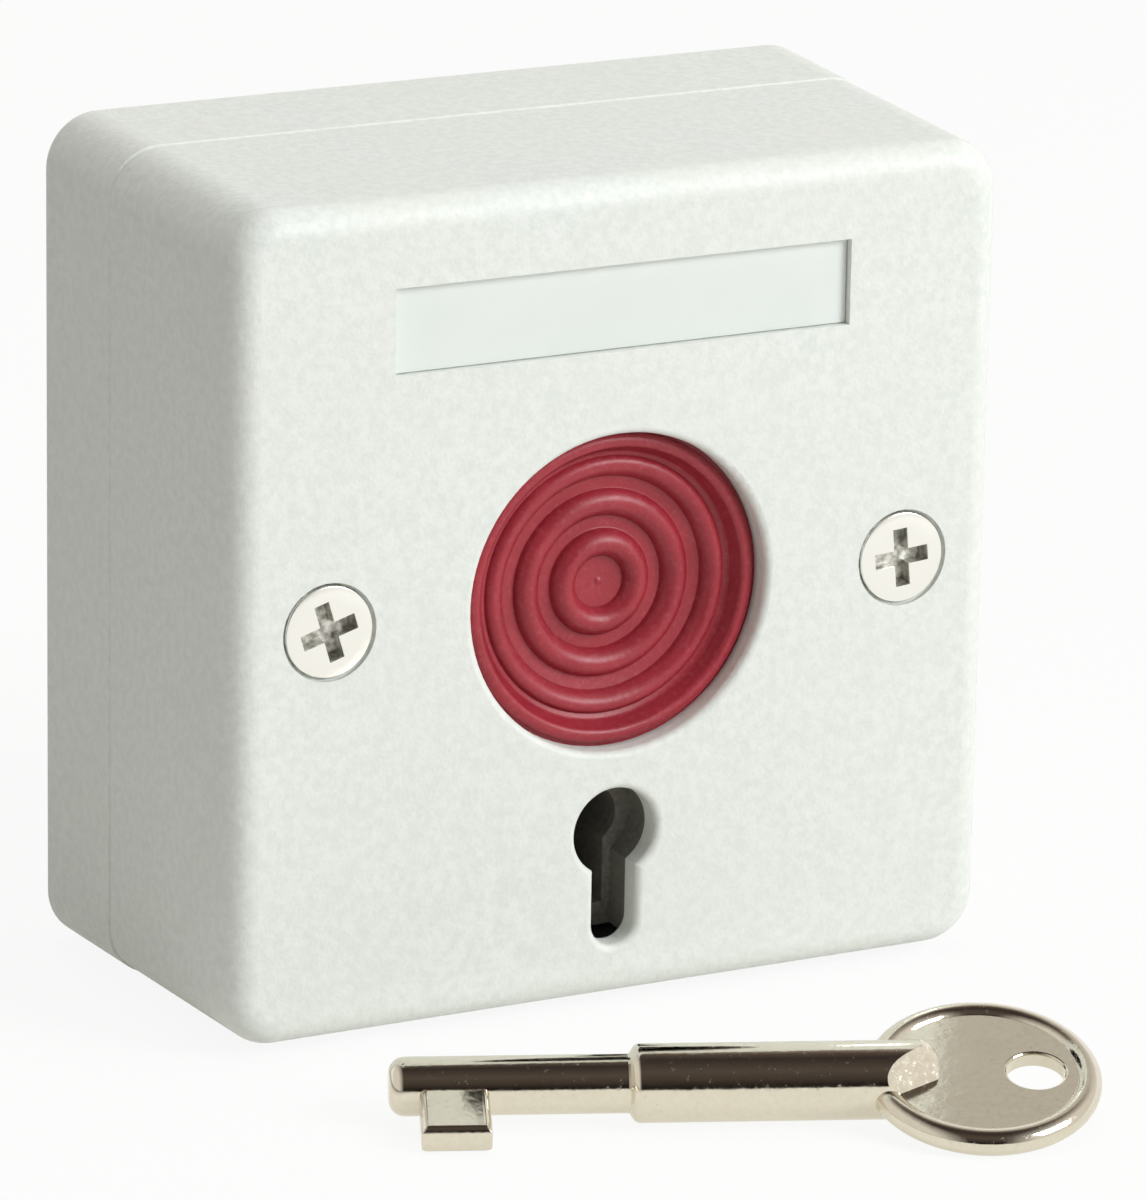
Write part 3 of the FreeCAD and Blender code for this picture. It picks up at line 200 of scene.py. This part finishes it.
def light_room(fill):
    world = bpy.data.worlds.new("pale_room")
    world.use_nodes = True
    tree = world.node_tree
    tree.nodes.clear()
    output = add_node(tree, "ShaderNodeOutputWorld")
    seen = add_node(tree, "ShaderNodeBackground")
    seen.inputs["Color"].default_value = (1, 1, 1, 1)
    soft = add_node(tree, "ShaderNodeBackground")
    soft.inputs["Color"].default_value = (1.0, 0.985, 0.95, 1)
    soft.inputs["Strength"].default_value = fill
    mirrored = add_node(tree, "ShaderNodeBackground")
    studio = studio_for_mirrors(tree, back=(0.391, 0.921, 0.0), along_key=(0.918, -0.396, 0.0))
    tree.links.new(studio, mirrored.inputs["Color"])
    path = add_node(tree, "ShaderNodeLightPath")
    clear = add_node(tree, "ShaderNodeMath", operation="MAXIMUM")
    tree.links.new(path.outputs["Is Camera Ray"], clear.inputs[0])
    tree.links.new(path.outputs["Is Transmission Ray"], clear.inputs[1])
    glossy = add_node(tree, "ShaderNodeMixShader")
    tree.links.new(path.outputs["Is Glossy Ray"], glossy.inputs[0])
    tree.links.new(soft.outputs[0], glossy.inputs[1])
    tree.links.new(mirrored.outputs[0], glossy.inputs[2])
    choose = add_node(tree, "ShaderNodeMixShader")
    tree.links.new(clear.outputs[0], choose.inputs[0])
    tree.links.new(glossy.outputs[0], choose.inputs[1])
    tree.links.new(seen.outputs[0], choose.inputs[2])
    tree.links.new(choose.outputs[0], output.inputs["Surface"])
    bpy.context.scene.world = world


def softbox(name, place, target, width, height, power, colour=(1, 1, 1)):
    """A rectangular lamp that looks at a target."""
    data = bpy.data.lights.new(name, "AREA")
    data.shape = "RECTANGLE"
    data.size = width
    data.size_y = height
    data.energy = power
    data.color = colour
    lamp = bpy.data.objects.new(name, data)
    bpy.context.collection.objects.link(lamp)
    lamp.location = place
    lamp.rotation_mode = "QUATERNION"
    lamp.rotation_quaternion = (Vector(target) - Vector(place)).to_track_quat("-Z", "Y")
    return lamp


light_room(fill=0.32)
middle = Vector((0, -0.03, 0))
softbox("front_light", (0.78, -1.05, 0.72), middle, 0.7, 0.7, 15.2, (0.98, 0.995, 1.015))
top_light = softbox("top_light", (0.10, 0.05, 1.20), middle, 0.9, 0.7, 4.5, (1.0, 0.98, 0.96))
top_light.visible_glossy = False

# %% [markdown]
# ## Floor
#
# The object stands on plain white. A floor that is simply lit would turn grey, so the camera
# and the reflections see mostly its own white, and a share of ordinary shaded white lets the
# soft contact shadow through. In reflections the paper is a little creamier, as on the key's
# underside, and it ends to the left, where the walls of the button's rings mirror no paper.

# %% Lay the floor
def white_paper(own_white, mirrored_white, mirrored_edge):
    """Paper that the camera and mirrors see mostly by its own light."""
    paper = bpy.data.materials.new("white_paper")
    paper.use_nodes = True
    tree = paper.node_tree
    tree.nodes.clear()
    output = add_node(tree, "ShaderNodeOutputMaterial")
    shaded = add_node(tree, "ShaderNodeBsdfDiffuse")
    shaded.inputs["Color"].default_value = (0.86, 0.85, 0.83, 1)
    glowing = add_node(tree, "ShaderNodeEmission")
    glowing.inputs["Strength"].default_value = 1.0
    path = add_node(tree, "ShaderNodeLightPath")
    across = add_node(tree, "ShaderNodeSeparateXYZ")
    tree.links.new(add_node(tree, "ShaderNodeTexCoord").outputs["Object"], across.inputs[0])
    cream = add_node(tree, "ShaderNodeMix", data_type="RGBA")
    tree.links.new(map_range(tree, across.outputs["X"], *mirrored_edge), cream.inputs[0])
    cream.inputs[6].default_value = (0.03, 0.02, 0.02, 1)
    cream.inputs[7].default_value = (1.0, 0.985, 0.90, 1)
    mirrored = add_node(tree, "ShaderNodeMath", operation="MULTIPLY")
    mirrored.inputs[1].default_value = mirrored_white
    tree.links.new(path.outputs["Is Glossy Ray"], mirrored.inputs[0])
    share = add_node(tree, "ShaderNodeMath", operation="MULTIPLY_ADD")
    share.inputs[1].default_value = own_white
    tree.links.new(path.outputs["Is Camera Ray"], share.inputs[0])
    tree.links.new(mirrored.outputs[0], share.inputs[2])
    tint = add_node(tree, "ShaderNodeMix", data_type="RGBA")
    tree.links.new(path.outputs["Is Glossy Ray"], tint.inputs[0])
    tint.inputs[6].default_value = (1, 1, 1, 1)
    tree.links.new(cream.outputs[2], tint.inputs[7])
    tree.links.new(tint.outputs[2], glowing.inputs["Color"])
    choose = add_node(tree, "ShaderNodeMixShader")
    tree.links.new(share.outputs[0], choose.inputs[0])
    tree.links.new(shaded.outputs[0], choose.inputs[1])
    tree.links.new(glowing.outputs[0], choose.inputs[2])
    tree.links.new(choose.outputs[0], output.inputs["Surface"])
    return paper


def lay_floor(level, paper, half_width=6):
    mesh = bpy.data.meshes.new("floor")
    shape = bmesh.new()
    bmesh.ops.create_grid(shape, x_segments=1, y_segments=1, size=half_width)
    bmesh.ops.translate(shape, vec=(0, 0, level), verts=shape.verts)
    shape.to_mesh(mesh)
    shape.free()
    mesh.materials.append(paper)
    floor = bpy.data.objects.new("floor", mesh)
    bpy.context.collection.objects.link(floor)
    return floor


paper = white_paper(own_white=0.9, mirrored_white=0.70, mirrored_edge=(-0.10, -0.04))
floor = lay_floor(floor_level - mm(0.02), paper)
print("floor laid at", round(floor.data.vertices[0].co.z * 1000, 2), "mm")

# %% [markdown]
# ## Finishes
#
# Every finish is a small set of nodes: a principled shader, a pattern that reads the object's
# own coordinates, and a bump for the relief. The helpers below add one node each and pass
# their result on, so that a finish reads from top to bottom.

# %% Helpers for finishes
class Finish:
    """A material with one principled shader and helpers that add patterns to it."""

    def __init__(self, name, colour, roughness, metallic=0.0, **sockets):
        self.material = bpy.data.materials.new(name)
        self.material.use_nodes = True
        self.tree = self.material.node_tree
        self.shader = self.tree.nodes["Principled BSDF"]
        self.set("Base Color", (*colour, 1))
        self.set("Roughness", roughness)
        self.set("Metallic", metallic)
        for socket, value in sockets.items():
            self.set(socket.replace("_", " "), value)
        self.coords = self.node("ShaderNodeTexCoord").outputs["Object"]
        self.relief = None

    def set(self, socket, value):
        self.shader.inputs[socket].default_value = value

    def node(self, kind, **settings):
        return add_node(self.tree, kind, **settings)

    def join(self, start, end):
        self.tree.links.new(start, end)

    def noise(self, size, detail=2.0, roughness=0.5):
        """Soft random pattern whose lumps are about size millimetres across."""
        pattern = self.node("ShaderNodeTexNoise")
        pattern.inputs["Scale"].default_value = 1000 / size
        pattern.inputs["Detail"].default_value = detail
        pattern.inputs["Roughness"].default_value = roughness
        self.join(self.coords, pattern.inputs["Vector"])
        return pattern.outputs["Fac"]

    def spread(self, value, low, high, to_low=0.0, to_high=1.0):
        """Stretch the part of a pattern between low and high to a new range."""
        return map_range(self.tree, value, low, high, to_low, to_high)

    def larger(self, first, second):
        node = self.node("ShaderNodeMath", operation="MAXIMUM")
        self.join(first, node.inputs[0])
        self.join(second, node.inputs[1])
        return node.outputs[0]

    def blend(self, share, first, second):
        """Mix two colours, each a tuple or another node's result."""
        node = self.node("ShaderNodeMix", data_type="RGBA")
        if isinstance(share, (int, float)):
            node.inputs[0].default_value = share
        else:
            self.join(share, node.inputs[0])
        for slot, value in ((6, first), (7, second)):
            if isinstance(value, tuple):
                node.inputs[slot].default_value = (*value, 1)
            else:
                self.join(value, node.inputs[slot])
        return node.outputs[2]

    def colour(self, value):
        self.join(value, self.shader.inputs["Base Color"])

    def rough(self, value):
        self.join(value, self.shader.inputs["Roughness"])

    def bump(self, height, depth, strength=1.0):
        """Add relief of about depth millimetres; a second call goes on top of the first."""
        node = self.node("ShaderNodeBump")
        node.inputs["Strength"].default_value = strength
        node.inputs["Distance"].default_value = depth / 1000
        self.join(height, node.inputs["Height"])
        if self.relief is not None:
            self.join(self.relief, node.inputs["Normal"])
        self.relief = node.outputs[0]
        self.join(self.relief, self.shader.inputs["Normal"])


def dress(finish, *names):
    """Give CAD nodes a finish."""
    for name in names:
        mesh = nodes[name].data
        mesh.materials.clear()
        mesh.materials.append(finish.material)
    print(finish.material.name, "on", ", ".join(names))


# %% [markdown]
# ### Pale plastic
#
# The housing is a faintly green white plastic with a fine pebbled surface, pressed into the
# mould by spark erosion. Lumps of about a millimetre catch the light, so a low bump of two
# sizes of noise makes them, and the colour only varies by a few percent.

# %% Pale plastic
def pale_plastic():
    plastic = Finish("pale_plastic", (0.80, 0.83, 0.79), 0.48, IOR=1.49)
    lumps = plastic.noise(0.9, detail=3, roughness=0.6)
    grains = plastic.noise(0.35, detail=2)
    drift = plastic.noise(18, detail=2)
    clear = plastic.blend(plastic.spread(lumps, 0.36, 0.64), (0.755, 0.795, 0.75), (0.835, 0.865, 0.825))
    warm = plastic.blend(plastic.spread(drift, 0.35, 0.65, 0.0, 0.35), clear, (0.80, 0.815, 0.755))
    plastic.colour(warm)
    plastic.rough(plastic.spread(grains, 0.3, 0.7, 0.42, 0.58))
    plastic.bump(lumps, 0.07)
    plastic.bump(grains, 0.02)
    return plastic


dress(pale_plastic(), "front_cover", "rear_box")

# %% [markdown]
# ### Label film
#
# The blank strip in the recess is a smooth film, a little bluer than the plastic round it.

# %% Label film
def label_film():
    film = Finish("label_film", (0.76, 0.81, 0.78), 0.32, IOR=1.5)
    drift = film.noise(9, detail=2)
    film.colour(film.blend(film.spread(drift, 0.35, 0.65), (0.775, 0.82, 0.785), (0.80, 0.84, 0.81)))
    film.bump(film.noise(1.2, detail=1), 0.004)
    return film


dress(label_film(), "label_strip")

# %% [markdown]
# ### Red plastic
#
# The button is moulded in a deep red with a satin skin. Handling leaves a fine dust and
# tiny scuffs, spread evenly over the whole cap.

# %% Red plastic
def red_plastic():
    red = Finish("red_plastic", (0.34, 0.022, 0.038), 0.28, IOR=1.52)
    dust = red.noise(0.5, detail=4, roughness=0.65)
    drift = red.noise(6, detail=2)
    deep = red.blend(red.spread(drift, 0.3, 0.7), (0.31, 0.016, 0.030), (0.38, 0.025, 0.042))
    red.colour(red.blend(red.spread(dust, 0.5, 0.75, 0.0, 0.22), deep, (0.60, 0.16, 0.17)))
    red.rough(red.spread(dust, 0.3, 0.7, 0.34, 0.46))
    red.bump(dust, 0.035)
    return red


red = red_plastic()
dress(red, "switch_plunger")

# %% [markdown]
# ### Black plastic
#
# Inside, the frame, the lock and the switch are moulded in black with a fine matt grain.

# %% Black plastic
def black_plastic():
    black = Finish("black_plastic", (0.028, 0.028, 0.029), 0.5, IOR=1.5)
    grain = black.noise(0.3, detail=3)
    black.colour(black.blend(black.spread(grain, 0.35, 0.65), (0.022, 0.022, 0.024), (0.040, 0.040, 0.040)))
    black.rough(black.spread(grain, 0.3, 0.7, 0.42, 0.6))
    black.bump(grain, 0.02)
    return black


dress(black_plastic(), "button_stem", "mechanism_frame", "switch_body")

# %% [markdown]
# ### Grey plastic
#
# Through the keyhole the lock housing shows as a dark warm grey, lighter than the black
# pieces further in, so it is a moulding of its own colour.

# %% Grey plastic
def grey_plastic():
    grey = Finish("grey_plastic", (0.20, 0.19, 0.16), 0.42, IOR=1.5)
    grain = grey.noise(0.5, detail=3)
    grey.colour(grey.blend(grey.spread(grain, 0.35, 0.65), (0.17, 0.16, 0.135), (0.24, 0.23, 0.20)))
    grey.rough(grey.spread(grain, 0.3, 0.7, 0.34, 0.5))
    grey.bump(grain, 0.015)
    return grey


dress(grey_plastic(), "lock_housing")

# %% [markdown]
# ### Metals
#
# Bright nickel for the key and the face screws, zinc plate for the hidden fittings, drawn
# steel for the springs, and brass for the inserts. Each has its own tint, its own haze and
# its own small marks. The nickel has fine matt pits that show as light specks where it mirrors
# the dark room. The steel is dull inside the cross recesses, and there its colour is darkened
# to grey as painted shade.

# %% Metals
def plated_metal(name, light, dark, low, high, grain=0.6, depth=0.006, cloud=0.6):
    metal = Finish(name, light, low, 1.0)
    haze = metal.noise(grain, detail=4, roughness=0.65)
    stain = metal.noise(5, detail=3)
    tone = metal.blend(metal.spread(haze, 0.35, 0.7, 0.0, cloud), light, dark)
    metal.colour(metal.blend(metal.spread(stain, 0.45, 0.7, 0.0, cloud * 0.67), tone, dark))
    metal.rough(metal.spread(haze, 0.3, 0.7, low, high))
    metal.bump(haze, depth)
    return metal


def pitted_nickel(low=0.06, high=0.17, pit=0.34):
    """Nickel with fine matt pits, each value a roughness."""
    metal = plated_metal("nickel", (0.78, 0.735, 0.63), (0.62, 0.57, 0.48), low, high, cloud=0.22)
    metal.bump(metal.noise(1.6, detail=2), 0.016)
    pits = metal.spread(metal.noise(0.6, detail=3, roughness=0.7), 0.57, 0.71, 0.0, pit)
    haze = metal.spread(metal.noise(0.6, detail=4, roughness=0.65), 0.3, 0.7, low, high)
    metal.rough(metal.larger(pits, haze))
    return metal


def steel_with_painted_recess_shade(recess_start=0.2, border=0.15):
    """Bright steel that is dull a little way behind the face, in the recesses, where its colour is darkened
    to grey as painted shade.
    """
    metal = plated_metal("bright_steel", (0.97, 0.97, 0.95), (0.90, 0.89, 0.86), 0.14, 0.28)
    place = metal.node("ShaderNodeSeparateXYZ")
    metal.join(metal.coords, place.inputs[0])
    start = face_level + mm(recess_start)
    recessed = metal.spread(place.outputs["Y"], start, start + mm(border))
    metal.rough(metal.spread(recessed, 0, 1, 0.2, 0.5))
    painted_shade_patches = metal.spread(metal.noise(0.7), 0.35, 0.65)
    # Painted shade: inside the cross recesses the colour turns to dark grey patches, where shade falls.
    painted_recess_shade = metal.blend(painted_shade_patches, (0.34, 0.34, 0.31), (0.80, 0.79, 0.74))
    metal.colour(metal.blend(recessed, (0.96, 0.96, 0.94), painted_recess_shade))
    return metal


nickel = pitted_nickel()
bright_steel = steel_with_painted_recess_shade()
dress(plated_metal("zinc_steel", (0.66, 0.68, 0.70), (0.50, 0.52, 0.55), 0.26, 0.44, grain=1.2),
      "frame_screws", "lock_screws", "lock_rotor", "latch_slider", "switch_screws")
dress(plated_metal("spring_steel", (0.56, 0.56, 0.57), (0.36, 0.36, 0.38), 0.22, 0.38, grain=0.8),
      "button_spring", "latch_spring", "lock_clip", "switch_lever", "switch_pin")
dress(plated_metal("tinned_brass", (0.74, 0.72, 0.66), (0.62, 0.58, 0.48), 0.28, 0.42), "switch_terminals")
dress(plated_metal("brass", (0.78, 0.60, 0.30), (0.62, 0.44, 0.20), 0.24, 0.40, grain=0.9),
      "insert_left", "insert_right")

# %% [markdown]
# ## Pieces with finer curves
#
# The CAD nodes are meshes of flat facets. On plastic they don't show, but polished metal
# mirrors the room in every facet, and the rings of the button need softer shoulders. So the
# key, the cap and the two face screws are made again here on the same places, and each new
# piece stands for its CAD node. They are all turned parts at heart: a half outline, spun
# round its axis.

# %% Helpers for turned pieces
def turned(shape, outline, along, steps=96):
    """Spin an outline of (radius, place) points in millimetres round the Y axis, or round X."""
    points = [shape.verts.new(mm(radius, place, 0) if along == "y" else mm(place, radius, 0))
              for radius, place in outline]
    edges = [shape.edges.new(pair) for pair in zip(points, points[1:])]
    axis = (0, 1, 0) if along == "y" else (1, 0, 0)
    bmesh.ops.spin(shape, geom=points + edges, cent=(0, 0, 0), axis=axis, angle=math.tau, steps=steps,
                   use_merge=True)
    bmesh.ops.remove_doubles(shape, verts=shape.verts, dist=mm(0.003))


def corner(middle_radius, middle_place, size, start, end, count=6):
    """Points of a rounded corner of an outline, from one angle in degrees to another."""
    angles = [math.radians(start + (end - start) * i / count) for i in range(count + 1)]
    return [(middle_radius + size * math.cos(a), middle_place + size * math.sin(a)) for a in angles]


def finish_piece(shape, name, finish, body, node, smooth=32):
    """Turn a bmesh into a piece that rides on a body and stands for a CAD node."""
    bmesh.ops.remove_doubles(shape, verts=shape.verts, dist=mm(0.002))
    bmesh.ops.recalc_face_normals(shape, faces=shape.faces)
    mesh = bpy.data.meshes.new(name)
    shape.to_mesh(mesh)
    shape.free()
    mesh.shade_smooth()
    mesh.set_sharp_from_angle(angle=math.radians(smooth))
    mesh.materials.append(finish.material)
    piece = bpy.data.objects.new(name, mesh)
    bpy.context.collection.objects.link(piece)
    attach(piece, body)
    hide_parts(node)
    print(f"{name}: {len(mesh.polygons)} faces")
    return piece


# %% [markdown]
# ### Button cap
#
# The floor of the dish lies three millimetres below the rim, flat in the middle and rising
# towards the edge. On it stand three rounded rings with sharp feet, and in the middle is a
# small pip where the plastic entered the mould. The depths
# were found from the photograph: seen at a slant, a deeper ring shifts to the left, and only
# these depths bring all the rings to where they are seen. The outline is the floor's curve
# less the height of each ring, so one short rule gives every point of it. Behind the dish
# come the flange that holds the cap in, the skirt and the boss for the stem.

# %% Button cap
cap_rim = face_level * 1000 + 1.7
cap_radius = 15.15
cap_rings = ((3.87, 1.3, 1.38), (7.83, 1.25, 1.38), (11.5, 0.95, 1.08))  # radius, height, half width


def cap_front(radius, floor_depth=3.05, floor_end=15.7, pip=0.4, pip_height=0.16):
    """Where the front of the cap stands at a radius, in millimetres from the wall."""
    place = cap_rim + floor_depth * (1 - (radius / floor_end) ** 4)
    for ring, height, half_width in cap_rings:
        place -= height * max(0.0, 1 - ((radius - ring) / half_width) ** 2) ** 0.75
    if radius < pip:
        place -= pip_height * (1 - (radius / pip) ** 2)
    return place


def make_cap():
    inner_edge, outer_edge = 0.6, 0.84
    flange_radius, flange_front, flange_back = 17.2, cap_rim + 0.9, cap_rim + 2.3
    skirt_inside, skirt_end, web_back = 13.45, cap_rim + 6.8, cap_rim + 4.2
    boss_outside, boss_inside, boss_end = 5.0, 4.25, cap_rim + 7.8
    dish_radii = [hundredths / 100 for hundredths in range(7, 1301, 11)]
    front = [(radius, cap_front(radius)) for radius in [0.0] + dish_radii]
    wall = [(13.12, cap_rim + 1.5), (13.22, cap_rim + 1.3), (13.4, cap_rim + 0.9)]
    rim = corner(14.25, cap_rim + inner_edge, inner_edge, -165, -90, 5)
    rim += corner(cap_radius - outer_edge, cap_rim + outer_edge, outer_edge, -90, 0, 6)
    flange = [(cap_radius, flange_front), (flange_radius, flange_front),
              (flange_radius, flange_back), (cap_radius, flange_back)]
    skirt = [(cap_radius, skirt_end), (skirt_inside, skirt_end),
             (skirt_inside, web_back), (boss_outside, web_back)]
    boss = [(boss_outside, boss_end), (boss_inside, boss_end), (boss_inside, web_back), (0.0, web_back)]
    shape = bmesh.new()
    turned(shape, front + wall + rim + flange + skirt + boss, "y", steps=160)
    return finish_piece(shape, "cap_dish", red, "button", "button_cap", smooth=40)


# The key mirrors no red in the photograph, so mirrors don't see the cap.
make_cap().visible_glossy = False

# %% [markdown]
# ### Face screws
#
# A countersunk screw is a disc with a straight edge, a cone and a shank. The cross recess is
# what makes it read as a screw: four tapered arms that run down to a small floor. The flat
# of the head is filled between a circle and the outline of the cross, and the outline is
# then pushed in and drawn together.

# %% Face screws
def cross_outline(shape, half_span, half_arm):
    """The twelve corners of a cross, as a closed loop of edges in the XZ plane."""
    quarter = [(half_arm, half_arm), (half_arm, half_span), (-half_arm, half_span)]
    points = []
    for turn in range(4):
        spun = Matrix.Rotation(math.radians(-90 * turn), 4, "Y")
        points += [shape.verts.new(spun @ mm(x, 0, z)) for x, z in quarter]
    return [shape.edges.new(pair) for pair in zip(points, points[1:] + points[:1])]


def make_face_screw(name, node, side, turn):
    head, edge, land, shank, length = 4.4, 0.12, 0.7, 1.95, 30.5
    half_span, half_arm, recess_depth, taper = 2.85, 0.76, 1.3, 0.86
    half_spacing, sunk = 30.15, 0.1
    shape = bmesh.new()
    ring = bmesh.ops.create_circle(shape, cap_ends=False, radius=mm(head - edge), segments=96,
                                   matrix=Matrix.Rotation(math.radians(90), 4, "X"))
    ring_edges = list({edge for vert in ring["verts"] for edge in vert.link_edges})
    cross = cross_outline(shape, half_span, half_arm)
    bmesh.ops.triangle_fill(shape, use_beauty=True, use_dissolve=False, edges=ring_edges + cross)
    walls = bmesh.ops.extrude_edge_only(shape, edges=cross)
    low = [item for item in walls["geom"] if isinstance(item, bmesh.types.BMVert)]
    bmesh.ops.translate(shape, verts=low, vec=mm(0, recess_depth, 0))
    bmesh.ops.scale(shape, verts=low, vec=(taper, 1, taper))
    floor_edges = [item for item in walls["geom"] if isinstance(item, bmesh.types.BMEdge)]
    bmesh.ops.contextual_create(shape, geom=floor_edges)
    body_outline = [(head - edge, 0.0), (head - 0.035, 0.035), (head, edge), (head, land),
                    (shank, land + head - shank), (shank, length - 0.6), (shank - 0.6, length), (0.0, length)]
    turned(shape, body_outline, "y", steps=96)
    spun = Matrix.Rotation(math.radians(-turn), 3, "Y")
    bmesh.ops.rotate(shape, verts=shape.verts, cent=(0, 0, 0), matrix=spun)
    place = mm(side * half_spacing, face_level * 1000 + sunk, 0)
    bmesh.ops.translate(shape, verts=shape.verts, vec=place)
    return finish_piece(shape, name, bright_steel, "housing", node, smooth=30)


make_face_screw("screw_head_left", "face_screw_left", -1, 17)
make_face_screw("screw_head_right", "face_screw_right", 1, 5)

# %% [markdown]
# ### Key
#
# The key is turned from the tip to the bow: a thin stem, a rounded shoulder, a thick stem
# whose end shows as a half round inside the bow. The bow is a ring of round bead with a
# thin web and an off-centre hole, and the bit is a small block with eased corners. Each is
# one operator's shape, and they pass through one another as a cast and soldered key does.
# They are made along the X axis from the tip and then laid down where the CAD key lies.

# %% Key
bow_middle, bow_circle, bow_bead = 54.47, 9.62, 1.25
key_roll, key_dip, key_swing = math.radians(16.5), math.radians(0.45), math.radians(23.35)
key_rest = bow_circle * math.sin(key_roll) + bow_bead - bow_middle * math.sin(key_dip)
key_place = mm(-33.0, -59.04, floor_level * 1000 + key_rest)
key_turn = (Matrix.Rotation(-key_swing, 4, "Z") @ Matrix.Rotation(-key_dip, 4, "Y")
            @ Matrix.Rotation(key_roll, 4, "X"))


def key_stems(shape, thin=2.72, thick=3.63, shoulder=22.0, end=50.2):
    tip = [(0.0, 0.0)] + corner(thin - 1.5, 1.5, 1.5, -90, 0, 10)
    tip += [(thin, shoulder - 0.2), (thin + 0.06, shoulder)]
    collar = corner(thick - 0.85, shoulder + 1.0, 0.85, -65, 0, 8)
    back = [(thick, end - 1.8)] + corner(thick - 1.8, end - 1.8, 1.8, 0, 90, 12) + [(0.0, end)]
    turned(shape, tip + collar + back, "x", steps=96)
    everything = shape.verts[:] + shape.edges[:] + shape.faces[:]
    cut = bmesh.ops.bisect_plane(shape, geom=everything, dist=mm(0.001), clear_outer=True,
                                 plane_co=mm(end - 4.9, -thick * 0.80, thick * 0.60),
                                 plane_no=(0.420, -0.720, 0.552))
    cut_edges = [item for item in cut["geom_cut"] if isinstance(item, bmesh.types.BMEdge)]
    bmesh.ops.contextual_create(shape, geom=cut_edges)


def key_bow(shape, web=1.6, hole=2.7, shift=4.78):
    upright = Matrix.Translation(mm(bow_circle, 0, 0)) @ Matrix.Rotation(math.radians(90), 4, "X")
    ring = bmesh.ops.create_circle(shape, cap_ends=False, radius=mm(bow_bead), segments=40, matrix=upright)
    edges = list({edge for vert in ring["verts"] for edge in vert.link_edges})
    bmesh.ops.spin(shape, geom=ring["verts"] + edges, cent=(0, 0, 0), axis=(0, 0, 1), angle=math.tau,
                   steps=120, use_merge=True)
    outer = bmesh.ops.create_circle(shape, cap_ends=False, radius=mm(bow_circle), segments=120)
    inner = bmesh.ops.create_circle(shape, cap_ends=False, radius=mm(hole), segments=48,
                                    matrix=Matrix.Translation(mm(shift, 0, 0)))
    loops = list({edge for vert in outer["verts"] + inner["verts"] for edge in vert.link_edges})
    sheet = bmesh.ops.triangle_fill(shape, use_beauty=True, use_dissolve=False, edges=loops)
    faces = [item for item in sheet["geom"] if isinstance(item, bmesh.types.BMFace)]
    rise = bmesh.ops.extrude_face_region(shape, geom=faces)
    raised = [item for item in rise["geom"] if isinstance(item, bmesh.types.BMVert)]
    bmesh.ops.translate(shape, vec=mm(0, 0, web), verts=raised)
    web_verts = list({vert for face in faces for vert in face.verts} | set(raised))
    bmesh.ops.translate(shape, vec=mm(0, 0, -web / 2), verts=web_verts)
    hole_middle = mm(shift, 0, 0).xy
    web_edges = {edge for vert in web_verts for edge in vert.link_edges}
    rims = [edge for edge in shape.edges if edge in web_edges
            and all(abs((vert.co.xy - hole_middle).length - mm(hole)) < mm(0.02) for vert in edge.verts)
            and abs(edge.verts[0].co.z - edge.verts[1].co.z) < mm(0.01)]
    bmesh.ops.bevel(shape, geom=rims, affect="EDGES", offset=mm(0.25), segments=3, profile=0.5, material=-1)
    bmesh.ops.translate(shape, vec=mm(bow_middle, 0, 0), verts=shape.verts)


def key_bit(shape, start=2.7, length=6.4, reach=8.4, thick=2.84, bevel=0.65):
    block = bmesh.ops.create_cube(shape, size=1)["verts"]
    bmesh.ops.scale(shape, verts=block, vec=mm(length, reach - 1.3, thick))
    bmesh.ops.translate(shape, verts=block, vec=mm(start + length / 2, -(reach + 1.3) / 2, 0))
    foot = [edge for edge in shape.edges if any(v.co.y < mm(-reach + 0.01) for v in edge.verts)
            and abs(edge.verts[0].co.z - edge.verts[1].co.z) < mm(0.01)]
    bmesh.ops.bevel(shape, geom=foot, affect="EDGES", offset=mm(bevel), segments=4, profile=0.5, material=-1)
    sides = [edge for edge in shape.edges if edge.calc_length() > mm(0.3)]
    bmesh.ops.bevel(shape, geom=sides, affect="EDGES", offset=mm(0.14), segments=2, profile=0.5, material=-1)


def make_key():
    whole = bmesh.new()
    for build in (key_bow, key_stems, key_bit):
        part = bmesh.new()
        build(part)
        bmesh.ops.recalc_face_normals(part, faces=part.faces)
        mesh = bpy.data.meshes.new("key_part")
        part.to_mesh(mesh)
        part.free()
        whole.from_mesh(mesh)
        bpy.data.meshes.remove(mesh)
    bmesh.ops.transform(whole, matrix=Matrix.Translation(key_place) @ key_turn, verts=whole.verts)
    return finish_piece(whole, "key", nickel, "housing", "reset_key", smooth=11)


make_key()

# %% [markdown]
# ## Finish
#
# The last line sets the view transform to Standard.

# %% Set the view transform
bpy.context.scene.view_settings.view_transform = "Standard"
